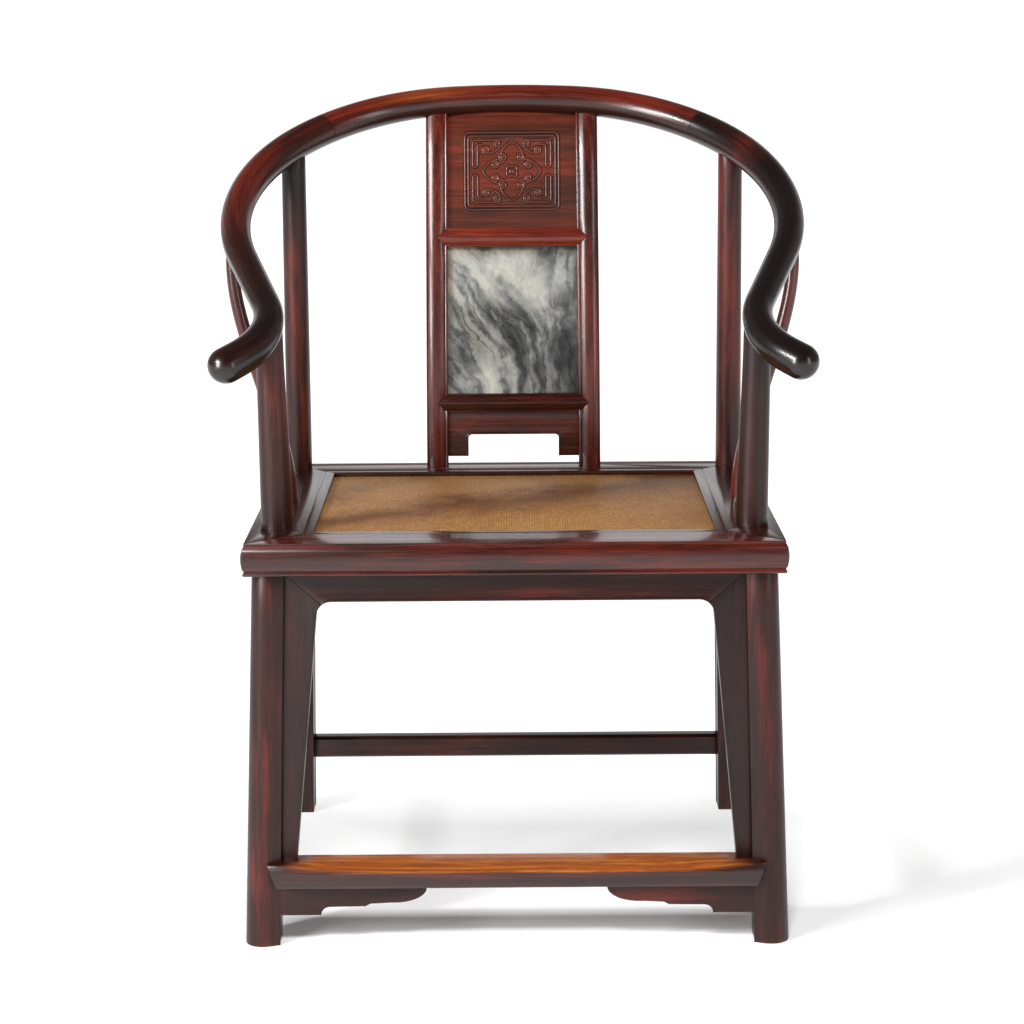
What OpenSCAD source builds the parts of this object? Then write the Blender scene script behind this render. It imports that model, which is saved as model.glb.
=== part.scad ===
// Horseshoe-back armchair of dark hardwood, with a panelled back splat set with marble.
// Millimetres, +Z up. The front faces -Y and +X is to the right of someone who looks at the front.
// The origin is on the floor, midway between the foremost and the rearmost point of the chair.
// Every place along the depth is first given as a distance behind the front lip of the seat.

/* [Seat frame] */
// Width of the seat over the lips of its side rails
seat_w = 612; // [580:1:650]
// Depth of the seat from its front lip to its back lip
seat_d = 470; // [450:1:500]
// Height of the seat's top above the floor
seat_h = 484; // [460:1:510]
// Thickness of the seat frame
frame_t = 38; // [36:0.5:44]
// How far the moulded edge swells past the lip
seat_bulge = 4; // [2:0.5:6]
// Height of that swelling
bulge_h = 30; // [26:0.5:31]
// Height of the flat lip above it
bulge_lip = 3; // [2:0.5:4]
// Radius of the seat's four corners, seen from above
seat_corner_r = 9; // [3:0.5:12]
// Width of the front rail, with the ledge for the mat
front_rail_w = 61; // [56:1:68]
// Width of the back rail, with the ledge for the mat
back_rail_w = 66; // [62:1:74]
// Width of a side rail, with the ledge for the mat
side_rail_w = 74; // [70:1:80]

/* [Mat and board] */
// Width of the strips that hold the mat's edges down
strip_w = 12; // [8:0.5:15]
// Thickness of those strips
strip_t = 5; // [4:0.5:7]
// Thickness of the woven mat
mat_t = 3; // [2:0.5:4]
// Thickness of the board under the mat
board_t = 14; // [12:0.5:16]
// Length of the board's tongue all round
board_tongue_l = 8; // [5:0.5:10]
// Thickness of that tongue
board_tongue_t = 6; // [4:0.5:7]
// Width of a batten under the board
batten_w = 30; // [20:1:40]
// Distance of each batten from the middle
batten_x = 95; // [70:1:120]

/* [Legs] */
// Thickness of a front leg under the seat
leg_d = 37; // [34:0.5:40]
// Thickness of a front leg at the floor
foot_d = 41; // [38:0.5:44]
// Distance of a front leg's centre in from the side lip, under the seat
front_leg_in = 24; // [22:0.5:27]
// Distance of a front leg's centre behind the front lip, under the seat
front_leg_back = 28; // [24:0.5:31]
// How far a front foot stands out sideways from its leg's top
front_splay_out = 17; // [8:1:26]
// How far a front foot stands forward of its leg's top
front_splay_forward = 8; // [0:1:14]
// Thickness of a rear leg under the seat
rear_leg_d = 34; // [32:0.5:40]
// Thickness of a rear leg at the floor
rear_foot_d = 38; // [34:0.5:44]
// How far a rear foot stands out sideways from its leg's top
rear_splay_out = 14; // [4:1:18]
// How far a rear foot stands behind its leg's top
rear_splay_back = 37; // [20:1:45]

/* [Rear posts] */
// Distance of a rear post's centre in from the side lip, at the seat's top
rear_post_in = 25.5; // [24:0.5:28]
// Distance of a rear post's centre in front of the back lip, at the seat's top
rear_post_forward = 26; // [24:0.5:28]
// Diameter of a rear post where it leaves the seat
rear_post_d = 33; // [30:0.5:34]
// Diameter of a rear post under the arm rail
rear_post_top_d = 30; // [26:0.5:31]
// Place of a rear post along the arm rail, from the middle of the crest
rear_post_station = 306; // [302:1:308]

/* [Front posts] */
// Distance of a front post's centre in from the side lip
front_post_in = 30; // [26:0.5:34]
// Distance of a front post's centre behind the front lip
front_post_back = 90; // [84:1:110]
// Diameter of a front post at the seat
front_post_d = 37; // [32:0.5:40]
// Diameter of a front post under the arm rail
front_post_top_d = 31.5; // [26:0.5:32]
// Place of a front post along the arm rail, from the middle of the crest
front_post_station = 698; // [680:1:710]
// How far a front post bends towards the back under the arm rail
front_post_bend = 4; // [0:0.5:10]

/* [Side posts] */
// Distance of a side post's centre in from the side lip
side_post_in = 29; // [25:0.5:34]
// Distance of a side post's centre behind the front lip
side_post_back = 246; // [200:1:280]
// Diameter of a side post at the seat
side_post_d = 22; // [18:0.5:26]
// Diameter of a side post at the middle of its height
side_post_waist_d = 17; // [14:0.5:20]
// Diameter of a side post under the arm rail
side_post_top_d = 15; // [12:0.5:17]
// How strongly a side post bows outwards on its way up
side_post_bow = 27; // [0:1:34]
// Place of a side post along the arm rail, from the middle of the crest
side_post_station = 496; // [470:1:520]

/* [Arm rail] */
// Distance of the crest's centre line behind the front lip of the seat
rail_back = 500; // [485:1:515]
// Height of the crest's centre line above the floor
rail_h = 956; // [930:1:980]
// Slope of the plane that the rail's centre line lies in, in degrees
rail_tilt = 28.8; // [26:0.1:31]
// Radius of the crest's shallow curve
crest_r = 740; // [650:5:900]
// Turn of that curve on each side of the middle, in degrees
crest_turn = 6; // [4:0.5:8]
// Radius of the curve between the crest and the flank
shoulder_r = 300; // [285:1:315]
// Turn of that curve, in degrees
shoulder_turn = 41; // [38:0.5:44]
// Radius of the flank, where the rail comes round to the front
flank_r = 250; // [240:1:260]
// Turn of the flank, in degrees
flank_turn = 63; // [59:0.5:66]
// Length of the straight stretch behind the neck
arm_straight = 97; // [80:1:115]
// Radius of the neck, where the arm turns outwards
neck_r = 98; // [85:1:115]
// Turn of the neck, in degrees
neck_turn = 66; // [55:1:75]
// Length of the hand past the neck, with its rounded end
hand_l = 36.5; // [28:0.5:50]
// Diameter of the rail at the middle of the crest
crest_d = 36; // [34:0.5:39]
// Diameter of the rail at the shoulder
shoulder_d = 39; // [37:0.5:41]
// Diameter of the rail at the neck
neck_d = 34; // [33:0.5:37]
// Diameter of the hand
hand_d = 41; // [38:0.5:46]

/* [Rail joints] */
// Place of the middle of a lap along the rail, from the middle of the crest
lap_station = 284; // [280:1:288]
// Length of a lap
lap_l = 64; // [60:1:68]
// Side of the square peg that locks a lap
peg_s = 7; // [5:0.5:8]
// Length of the small tongue at the end of each half of a lap
lap_tongue_l = 4; // [2:0.5:6]
// Height of that tongue
lap_tongue_t = 5; // [3:0.5:6]

/* [Back splat] */
// Distance of the splat's foot in front of the back lip of the seat
splat_forward = 19; // [16:0.5:24]
// Width of the splat at the seat
splat_w = 227; // [215:1:240]
// Width of the splat at the crest
splat_top_w = 220; // [210:1:235]
// How far the splat's top lies behind the rail's centre line
splat_top_back = 5; // [2:0.5:6]
// How far the splat's waist swells forward of its even sweep
splat_bow = 5; // [0:0.5:10]
// Width of a stile
stile_w = 28; // [24:0.5:32]
// Width of the bead along a stile's inner edge and along the edges of the cross rails
stile_bead_w = 4; // [2.5:0.5:5]
// Thickness of a stile at its edges
stile_t = 21; // [18:0.5:24]
// How far the rounded face of a stile swells past its edges
stile_swell = 3; // [1:0.5:4]
// Height above the seat of the lower rail's underside
lower_rail_rise = 72; // [66:1:80]
// Height of the lower rail
lower_rail_h = 24; // [20:0.5:28]
// Share of the height between the lower rail and the crest that the marble takes
marble_share = 0.54; // [0.48:0.01:0.6]
// Height of the middle rail
middle_rail_h = 24; // [18:0.5:28]
// Thickness of the two rails of the splat
splat_rail_t = 19; // [16:0.5:21]
// Thickness of the marble
marble_t = 7; // [5:0.5:9]
// Thickness of the carved panel and of the panel at the foot
panel_t = 9; // [7:0.5:11]
// How deep the marble and the panels sit in their grooves
groove_d = 4; // [3:0.5:5]
// Height above the seat of the lower panel's two feet
foot_panel_rise = 13; // [8:1:24]
// Height of the opening between those feet
foot_opening_h = 29; // [18:1:32]
// Width of that opening
foot_opening_w = 118; // [90:1:126]
// Radius of its upper corners
foot_opening_r = 5; // [3:0.5:9]

/* [Aprons] */
// Drop of the front apron below the seat frame
apron_drop = 34; // [28:1:40]
// Thickness of all aprons
apron_t = 14; // [10:0.5:16]
// How far an apron's face lies behind the face of the legs
apron_setback = 8; // [6:0.5:10]
// Width of a front side apron where it meets the front apron
apron_side_w = 38; // [30:1:42]
// Width of a front side apron where it stands on the footrest
apron_foot_w = 19; // [14:1:26]
// Width of the upright aprons at the sides of the chair
flank_apron_w = 19; // [14:1:26]
// Radius of the openings' upper corners
apron_corner_r = 17; // [8:1:18]
// Width of the thin bead that follows each opening
bead_w = 2.4; // [1.5:0.1:3.5]
// How far that bead stands proud
bead_h = 1.2; // [0.6:0.1:2]

/* [Footrest and stretchers] */
// Height of the footrest's top above the floor
footrest_top = 102; // [90:1:115]
// Height of the footrest
footrest_h = 28; // [24:0.5:32]
// Depth of the footrest from front to back
footrest_depth = 40; // [34:0.5:42]
// How far the footrest stands proud of the legs' faces
footrest_proud = 10; // [6:0.5:13]
// Half the length of the footrest's upper front edge
footrest_reach = 289.5; // [286:0.5:293]
// How far each end of the footrest slants back inwards over its height
footrest_slant = 11; // [6:0.5:14]
// How deep the footrest's front arris is worn down by feet
footrest_wear = 7; // [0:0.5:9]
// Drop of the brackets under the footrest, at the legs
bracket_drop = 37; // [30:1:42]
// Reach of each bracket from the leg towards the middle
bracket_reach = 171; // [150:1:185]
// Thickness of the brackets
bracket_t = 14; // [10:0.5:18]
// Height of the side stretchers' centre line
side_stretcher_h = 146; // [142:1:170]
// Height of the back stretcher's centre line
back_stretcher_h = 92; // [86:1:104]
// Height of a stretcher
stretcher_h = 29; // [24:0.5:31]
// Depth of a stretcher
stretcher_depth = 23; // [18:0.5:25]

/* [Joinery] */
// Clearance on every face of a joint between two pieces
joint_gap = 0.15; // [0.1:0.05:0.3]
// Thickness of the tenons between the rails of the seat frame
frame_tenon_t = 12; // [8:0.5:14]
// Width of those tenons
frame_tenon_w = 12; // [8:0.5:13]
// Side of the square tenon on a front leg
leg_tenon_s = 15; // [12:0.5:17]
// Length of that tenon
leg_tenon_l = 24; // [16:1:28]
// Diameter of the round tenon at the foot of a front post
post_tenon_d = 20; // [16:0.5:22]
// Diameter of the round tenon at the foot of a side post
side_tenon_d = 12; // [9:0.5:14]
// Length of the round tenons in the seat frame
post_tenon_l = 24; // [16:1:28]
// Diameter of the round tenons in the arm rail
rail_tenon_d = 13; // [10:0.5:14]
// Depth of the tenons in the arm rail, from its centre line
rail_tenon_l = 4; // [2:0.5:5]
// Thickness of the tenons on stretchers and the footrest
bar_tenon_t = 10; // [8:0.5:12]
// Height of those tenons
bar_tenon_h = 18; // [14:0.5:20]
// Depth of those tenons in the legs, past the leg's near face
bar_tenon_l = 18; // [12:0.5:20]

/* [Hidden] */

$fn = 64;
WOOD = [0.24, 0.09, 0.07];
DARK_WOOD = [0.15, 0.07, 0.06];
WORN_WOOD = [0.42, 0.22, 0.10];
MAT = [0.66, 0.48, 0.26];
MARBLE = [0.80, 0.80, 0.77];

// Sides of the swept rail and posts, and the spacing of their sections
rail_sides = 20;
rail_step = 14;
post_sides = 16;
post_rings = 16;
side_post_sides = 12;
// Extra length for cutters, so that no two faces coincide
over = 2;

// Plain vector and interpolation helpers
function unit(v) = v / norm(v);
function mix(a, b, t) = a + (b - a) * t;
function ease(t) = t <= 0 ? 0 : t >= 1 ? 1 : (1 - cos(180 * t)) / 2;
function across(t) = unit([1, 0, 0] - t[0] * t);
function reversed(v) = [for (i = [len(v) - 1:-1:0]) v[i]];
function polar(r, a) = r * [cos(a), sin(a)];
function circle_points(n, r, start = 0) = [for (i = [0:n - 1]) polar(r, start + 360 * i / n)];
function arc_points(c, r, a0, a1, n = 6) = [for (i = [0:n]) c + polar(r, mix(a0, a1, i / n))];
function bezier(p, t) =
    let (u = 1 - t)
        u * u * u * p[0] + 3 * t * u * u * p[1] + 3 * t * t * u * p[2] + t * t * t * p[3];
function bezier_dir(p, t) =
    let (u = 1 - t)
        unit(u * u * (p[1] - p[0]) + 2 * t * u * (p[2] - p[1]) + t * t * (p[3] - p[2]));

// A section placed at a point, square to a direction, turned so that its x stays near +X
function placed(section, p, t) = [for (q = section) p + q[0] * across(t) + q[1] * cross(t, across(t))];

// Closed skin over rings of points that run anticlockwise about the way they are stacked
module skin(rings) {
    m = len(rings[0]);
    last = (len(rings) - 1) * m;
    sides = [
        for (i = [0:len(rings) - 2]) for (j = [0:m - 1])
            let (a = i * m + j, b = i * m + (j + 1) % m)
                each [[a, b + m, b], [a, a + m, b + m]]
    ];
    bottom = [for (j = [0:m - 1]) j];
    top = [for (j = [m - 1:-1:0]) last + j];
    polyhedron(points = [for (r = rings) each r], faces = concat([bottom], sides, [top]), convexity = 10);
}

// Puts children at p with their z along direction t and their x as near +X as it can be
module on_axis(p, t) {
    x = across(t);
    y = cross(t, x);
    multmatrix([
        [x[0], y[0], t[0], p[0]],
        [x[1], y[1], t[1], p[1]],
        [x[2], y[2], t[2], p[2]]
    ]) children();
}

module left() mirror([1, 0, 0]) children();

// Box between two opposite corners
module box(a, b) translate(a) cube(b - a);

// Overall places
gap = joint_gap;
foremost = min(-seat_bulge, front_leg_back - front_splay_forward - foot_d / 2 - footrest_proud);
rearmost = rail_back + crest_d / 2;
mid_depth = (foremost + rearmost) / 2;
function back(d) = d - mid_depth;
frame_bottom = seat_h - frame_t;
half_w = seat_w / 2;
inner_x = half_w - side_rail_w;
inner_front = front_rail_w;
inner_back = seat_d - back_rail_w;

// Arm rail: its centre line is a chain of arcs in a sloping plane, walked from the middle of the crest
rail_runs = [
    [crest_r * crest_turn * PI / 180, 1 / crest_r],
    [shoulder_r * shoulder_turn * PI / 180, 1 / shoulder_r],
    [flank_r * flank_turn * PI / 180, 1 / flank_r],
    [arm_straight, 0],
    [neck_r * neck_turn * PI / 180, -1 / neck_r],
    [hand_l, 0]
];
function run_sum(n) = n == 0 ? 0 : rail_runs[n - 1][0] + run_sum(n - 1);
rail_l = run_sum(len(rail_runs));
shoulder_station = run_sum(2);
neck_station = run_sum(4);
// Moves a plane state [x, depth, heading] along a run of length l and curvature k
function moved(q, l, k) =
    let (a = q[2] + l * k * 180 / PI)
        k == 0 ? [q[0] + l * cos(q[2]), q[1] + l * sin(q[2]), a]
            : [q[0] + (sin(a) - sin(q[2])) / k, q[1] + (cos(q[2]) - cos(a)) / k, a];
function walked(s, i = 0, q = [0, 0, 0]) =
    s <= rail_runs[i][0] || i == len(rail_runs) - 1 ? moved(q, s, rail_runs[i][1])
        : walked(s - rail_runs[i][0], i + 1, moved(q, rail_runs[i][0], rail_runs[i][1]));
// State at a station, which is negative on the left
function rail_state(s) = let (q = walked(abs(s))) s < 0 ? [-q[0], q[1], -q[2]] : q;
function rail_point(s) =
    let (q = rail_state(s))
        [q[0], back(rail_back) - q[1] * cos(rail_tilt), rail_h - q[1] * sin(rail_tilt)];
function rail_dir(s) =
    let (a = rail_state(s)[2])
        [cos(a), -sin(a) * cos(rail_tilt), -sin(a) * sin(rail_tilt)];
function rail_in(s) =
    let (a = rail_state(s)[2])
        [-sin(a), -cos(a) * cos(rail_tilt), -cos(a) * sin(rail_tilt)];
// Radius at a station: it swells at the shoulder, draws in at the neck and swells to the hand
function swell(d0, d1, s, s0, s1) = mix(d0, d1, ease((s - s0) / (s1 - s0))) / 2;
function rail_body_r(s) =
    s < shoulder_station ? swell(crest_d, shoulder_d, s, 0, shoulder_station)
        : s < neck_station ? swell(shoulder_d, neck_d, s, shoulder_station, neck_station)
            : swell(neck_d, hand_d, s, neck_station, rail_l - hand_d / 2);
dome_l = hand_d / 2;
function dome(s) = s <= rail_l - dome_l ? 1 : sqrt(max(0, 1 - pow((s - rail_l + dome_l) / dome_l, 2)));
function rail_r(s) = rail_body_r(abs(s)) * dome(abs(s));
function rail_ring(s, grow) =
    let (p = rail_point(s), t = rail_dir(s), u = rail_in(s), v = cross(t, u))
        [for (q = circle_points(rail_sides, rail_r(s) + grow, -rail_tilt)) p + q[0] * u + q[1] * v];
// Stations on one grid, so that a cutter's sections lie on the rail's own
function grid_stations(s0, s1) = [for (i = [ceil(s0 / rail_step):floor(s1 / rail_step)]) i * rail_step];
dome_stations = [for (a = [0, 20, 40, 55, 68, 78, 85]) rail_l - dome_l + dome_l * sin(a)];

// Stretch of the rail between two stations of the grid
module rail_stretch(s0, s1, grow = 0) skin([for (s = grid_stations(s0, s1)) rail_ring(s, grow)]);

// Right arm from a station to the rounded end of its hand
module rail_arm(s0) {
    body = [for (s = grid_stations(s0, rail_l - dome_l - 1)) s];
    skin([for (s = concat(body, dome_stations)) rail_ring(s, 0)]);
}

// Children at a station: x along the rail, y towards the sitter in the rail's plane, z square to that plane
module at_rail(s) {
    p = rail_point(s);
    t = rail_dir(s);
    u = rail_in(s);
    v = cross(t, u);
    multmatrix([
        [t[0], u[0], v[0], p[0]],
        [t[1], u[1], v[1], p[1]],
        [t[2], u[2], v[2], p[2]]
    ]) children();
}

// Lap joint at the right shoulder, in the frame of at_rail: local -z is the upper side
lap_half = lap_l / 2;
lap_reach = 60;
lap_side = 40;
tongue_w = 14;
// Space on the arm's side of the lap, with the whole section past it
module lap_arm_space(g) {
    box([-lap_half + g, -lap_side, -lap_side], [lap_reach, lap_side, -g / 2]);
    box([lap_half + g / 2, -lap_side, -lap_side], [lap_reach, lap_side, lap_side]);
}
module lap_back_space(g) {
    box([-lap_reach, -lap_side, g / 2], [lap_half - g, lap_side, lap_side]);
    box([-lap_reach, -lap_side, -lap_side], [-lap_half - g / 2, lap_side, lap_side]);
}
// Small tongues: the arm's is at the crest end of the upper half, the back rail's at the other end
module lap_tongue(end, g) {
    z = end < 0 ? [-lap_tongue_t - 3, -3] : [3, lap_tongue_t + 3];
    x = end < 0 ? [-lap_half - lap_tongue_l, -lap_half + 1] : [lap_half - 1, lap_half + lap_tongue_l];
    box([x[0] - g, -tongue_w / 2 - g, z[0] - g], [x[1] + g, tongue_w / 2 + g, z[1] + g]);
}
module lap_peg_hole(g) cube([peg_s + 2 * g, 2 * lap_side, peg_s + 2 * g], center = true);

// Posts and legs that the rail and the seat share
function rear_seat_point() = [half_w - rear_post_in, back(seat_d - rear_post_forward), seat_h];
rear_top = rail_point(rear_post_station);
rear_dir = unit(rear_top - rear_seat_point());
function on_rear_post(z) = rear_seat_point() + rear_dir * (z - seat_h) / rear_dir[2];
rear_leg_top = on_rear_post(frame_bottom);
rear_foot = [rear_leg_top[0] + rear_splay_out, rear_leg_top[1] + rear_splay_back, 0];
front_leg_top = [half_w - front_leg_in, back(front_leg_back), frame_bottom];
front_foot = [front_leg_top[0] + front_splay_out, front_leg_top[1] - front_splay_forward, 0];
function on_line(p, q, z) = mix(p, q, (z - p[2]) / (q[2] - p[2]));
function leg_r(z) = mix(foot_d, leg_d, z / frame_bottom) / 2;
function rear_leg_r(z) = mix(rear_foot_d, rear_leg_d, z / frame_bottom) / 2;

// Leg section in units of its half thickness: flat on its two inner faces, with a bead at each
// edge of the flats, and round everywhere else. x runs to the inside of the width, y of the depth.
leg_half_outline = [
    [1, -0.62], [1.04, -0.66], [1.03, -0.74], [0.88, -0.77], [0.62, -0.88], [0.32, -0.97],
    [cos(-90), sin(-90)], [cos(-105), sin(-105)], [cos(-120), sin(-120)]
];
leg_outline = concat(
    [[1, 1]], leg_half_outline, [[cos(-135), sin(-135)]],
    reversed([for (q = leg_half_outline) [q[1], q[0]]])
);
front_outline = [for (q = leg_outline) [-q[0], q[1]]];
rear_outline = reversed([for (q = leg_outline) -q]);

// Tapered leg along a line, cut level at the floor and at the frame
leg_overrun = 20;
module leg_blank(foot, top, foot_r, top_r, outline, grow) {
    t = unit(top - foot);
    k = leg_overrun / frame_bottom;
    intersection() {
        skin([
            placed(outline * (mix(foot_r, top_r, -k) + grow), mix(foot, top, -k), t),
            placed(outline * (mix(foot_r, top_r, 1 + k) + grow), mix(foot, top, 1 + k), t)
        ]);
        box([0, -seat_d, -grow], [seat_w, seat_d, frame_bottom + grow]);
    }
}
module front_leg_blank(grow = 0)
    leg_blank(front_foot, front_leg_top, foot_d / 2, leg_d / 2, front_outline, grow);
module rear_leg_blank(grow = 0)
    leg_blank(rear_foot, rear_leg_top, rear_foot_d / 2, rear_leg_d / 2, rear_outline, grow);

// Front leg with its square tenon in the corner of the seat frame
module front_leg_tenon(g = 0) {
    s = leg_tenon_s / 2 + g;
    p = front_leg_top;
    box([p[0] - s, p[1] - s, frame_bottom - over], [p[0] + s, p[1] + s, frame_bottom + leg_tenon_l + g]);
}
module front_leg() {
    color(WOOD) difference() {
        union() {
            front_leg_blank();
            front_leg_tenon();
        }
        footrest_tenon(gap);
        side_stretcher_tenons(gap);
    }
}

// Rear leg and the post above it, one length of wood that passes through the seat frame
module rear_post(grow = 0) {
    low = on_rear_post(frame_bottom - over);
    on_axis(low, rear_dir)
        cylinder(h = norm(rear_top - low), r1 = rear_post_d / 2 + grow, r2 = rear_post_top_d / 2 + grow);
}
module rear_rail_tenon(g = 0) {
    on_axis(rear_top - rear_dir * crest_d, rear_dir)
        cylinder(h = crest_d - rail_tenon_l + g, d = rail_tenon_d + 2 * g);
}
module rear_leg() {
    color(WOOD) difference() {
        union() {
            rear_leg_blank();
            difference() {
                rear_post();
                rail_stretch(rear_post_station - 60, rear_post_station + 60, gap);
            }
            rear_rail_tenon();
        }
        back_stretcher_tenon(gap);
        side_stretcher_tenons(gap);
    }
}

// Front post: set back from the leg, it leaves the seat upright and leans to meet the arm's neck
front_post_foot = [half_w - front_post_in, back(front_post_back), seat_h];
front_post_top = rail_point(front_post_station);
front_post_rise = front_post_top[2] - seat_h;
front_post_route = [
    front_post_foot,
    front_post_foot + [0, 0, 0.35 * front_post_rise],
    front_post_top + [0, front_post_bend, -0.35 * front_post_rise],
    front_post_top
];
front_post_dir = bezier_dir(front_post_route, 1);
module front_post_tenon(g = 0) {
    translate([front_post_foot[0], front_post_foot[1], seat_h - post_tenon_l - g])
        cylinder(h = post_tenon_l + g + over, d = post_tenon_d + 2 * g);
}
module front_rail_tenon(g = 0) {
    on_axis(front_post_top - front_post_dir * neck_d, front_post_dir)
        cylinder(h = neck_d - rail_tenon_l + g, d = rail_tenon_d + 2 * g);
}
module front_post() {
    color(WOOD) union() {
        difference() {
            skin([
                for (i = [0:post_rings])
                    let (t = i / post_rings, d = mix(front_post_d, front_post_top_d, ease(t)))
                        placed(circle_points(post_sides, d / 2),
                            bezier(front_post_route, t), bezier_dir(front_post_route, t))
            ]);
            rail_stretch(front_post_station - 70, front_post_station + 70, gap);
        }
        front_post_tenon();
        front_rail_tenon();
    }
}

// Side post: a thin stick that bows outwards from the seat's side rail up to the flank of the arm
side_post_foot = [half_w - side_post_in, back(side_post_back), seat_h];
side_post_top = rail_point(side_post_station);
side_post_rise = side_post_top[2] - seat_h;
side_post_route = [
    side_post_foot,
    side_post_foot + [0, 0, 0.36 * side_post_rise],
    side_post_top + [side_post_bow, 0, -0.33 * side_post_rise],
    side_post_top
];
side_post_dir = bezier_dir(side_post_route, 1);
function side_post_r(t) = (t < 0.5 ? mix(side_post_d, side_post_waist_d, ease(2 * t))
    : mix(side_post_waist_d, side_post_top_d, ease(2 * t - 1))) / 2;
side_rail_tenon_d = 9;
module side_post_tenon(g = 0) {
    translate([side_post_foot[0], side_post_foot[1], seat_h - post_tenon_l - g])
        cylinder(h = post_tenon_l + g + over, d = side_tenon_d + 2 * g);
}
module side_rail_tenon(g = 0) {
    on_axis(side_post_top - side_post_dir * shoulder_d, side_post_dir)
        cylinder(h = shoulder_d - rail_tenon_l + g, d = side_rail_tenon_d + 2 * g);
}
module side_post() {
    color(WOOD) union() {
        difference() {
            skin([
                for (i = [0:post_rings + 4])
                    let (t = i / (post_rings + 4))
                        placed(circle_points(side_post_sides, side_post_r(t)),
                            bezier(side_post_route, t), bezier_dir(side_post_route, t))
            ]);
            rail_stretch(side_post_station - 60, side_post_station + 60, gap);
        }
        side_post_tenon();
        side_rail_tenon();
    }
}

// Middle of the arm rail, from lap to lap
module arm_rail_back() {
    end = lap_station + lap_half;
    color(WORN_WOOD) difference() {
        rail_stretch(-end - 2 * rail_step, end + 2 * rail_step);
        for (side = [0, 1]) mirror([side, 0, 0]) {
            at_rail(lap_station) {
                difference() {
                    box([-lap_half - gap / 2, -lap_side, -lap_side],
                        [lap_reach + 2 * rail_step, lap_side, lap_side]);
                    lap_back_space(gap);
                    lap_tongue(1, 0);
                }
                lap_tongue(-1, gap);
                lap_peg_hole(gap);
            }
            rear_rail_tenon(gap);
        }
        for (side = [0, 1]) mirror([side, 0, 0]) stile_tenon(gap);
    }
}

// Right arm from the lap to the hand
module arm_rail_side() {
    color(DARK_WOOD) difference() {
        rail_arm(lap_station - lap_half - 2 * rail_step);
        at_rail(lap_station) {
            difference() {
                box([-lap_reach - 2 * rail_step, -lap_side, -lap_side],
                    [lap_half + gap / 2, lap_side, lap_side]);
                lap_arm_space(gap);
                lap_tongue(-1, 0);
            }
            lap_tongue(1, gap);
            lap_peg_hole(gap);
        }
        rear_rail_tenon(gap);
        front_rail_tenon(gap);
        side_rail_tenon(gap);
    }
}

// Square peg driven through the lap, across the joint between its halves
module rail_peg() color(DARK_WOOD) at_rail(lap_station)
    cube([peg_s, 2 * rail_r(lap_station) - 3, peg_s], center = true);

// Back splat: its middle plane leans back in one sweep, with its waist a little forward of it
splat_foot_y = back(seat_d - splat_forward);
splat_top = rail_point((splat_top_w - stile_w) / 2) + [0, splat_top_back, 0];
splat_rise = splat_top[2] - seat_h;
function splat_u(z) = (z - seat_h) / splat_rise;
function splat_y(z) =
    let (u = splat_u(z), sweep = 1.5 * u * u - 0.5 * u * u * u)
        splat_foot_y + (splat_top[1] - splat_foot_y) * sweep - splat_bow * sin(180 * u);
function splat_lean(z) = atan((splat_y(z + 1) - splat_y(z - 1)) / 2);
function splat_dir(z) = [0, sin(splat_lean(z)), cos(splat_lean(z))];
function splat_half(z) = mix(splat_w, splat_top_w, splat_u(z)) / 2;
lower_rail_z = seat_h + lower_rail_rise;
marble_z = lower_rail_z + lower_rail_h;
marble_h = marble_share * (splat_top[2] - marble_z - middle_rail_h);
middle_rail_z = marble_z + marble_h;
carved_z = middle_rail_z + middle_rail_h;

// Stile section, anticlockwise: square back, inner bead, rounded face, thin outer bead
stile_front = -stile_t / 2;
stile_in = -stile_w / 2;
stile_out = stile_w / 2;
stile_face = [stile_in + stile_bead_w + 0.5, stile_out - 2.3];
function stile_face_point(i) =
    let (t = i / 4 - 1)
        [mix(stile_face[0], stile_face[1], i / 8), stile_front - stile_swell * (1 - t * t)];
stile_section = concat(
    [[stile_out, stile_t / 2], [stile_in, stile_t / 2]],
    [[stile_in, stile_front + 1], [stile_in + 0.7, stile_front - 0.3],
        [stile_in + stile_bead_w / 2, stile_front - 0.7],
        [stile_in + stile_bead_w - 0.7, stile_front - 0.3], [stile_in + stile_bead_w, stile_front + 0.8]],
    [for (i = [0:8]) stile_face_point(i)],
    [[stile_out - 1.9, stile_front + 0.7], [stile_out - 1.5, stile_front - 0.3],
        [stile_out - 0.5, stile_front - 0.3], [stile_out, stile_front + 1]]
);
stile_rings = 16;
function stile_x(z) = splat_half(z) - stile_w / 2;
module stile_blank() skin([
    for (i = [0:stile_rings])
        let (z = mix(seat_h - stile_swell, splat_top[2], i / stile_rings))
            placed(stile_section, [stile_x(z), splat_y(z), z], splat_dir(z))
]);
// Flat tenon up into the crest, and one down into the seat's back rail
module stile_tenon(g = 0) {
    z = splat_top[2];
    t = splat_dir(z);
    on_axis([stile_x(z), splat_y(z), z] - t * crest_d, t)
        box([-7 - g, -4 - g, 0], [7 + g, 4 + g, crest_d - rail_tenon_l + g]);
}
module stile_seat_tenon(g = 0) {
    x = stile_x(seat_h);
    box([x - 9 - g, splat_foot_y - 4 - g, seat_h - 22 - g], [x + 9 + g, splat_foot_y + 4 + g, seat_h + over]);
}
module stile() {
    color(WOOD) union() {
        difference() {
            stile_blank();
            box([0, back(0), frame_bottom], [half_w, back(seat_d), seat_h + gap]);
            rail_stretch(splat_top_w / 2 - stile_w - 30, splat_top_w / 2 + 30, gap);
            carved_board(gap);
            marble_board(gap);
            lower_board(gap);
            splat_rail_tenon(lower_rail_z + lower_rail_h / 2, gap);
            splat_rail_tenon(middle_rail_z + middle_rail_h / 2, gap);
            splat_rail_points(lower_rail_z, lower_rail_h, gap);
            splat_rail_points(middle_rail_z, middle_rail_h, gap);
        }
        stile_tenon();
        stile_seat_tenon();
    }
}

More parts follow.
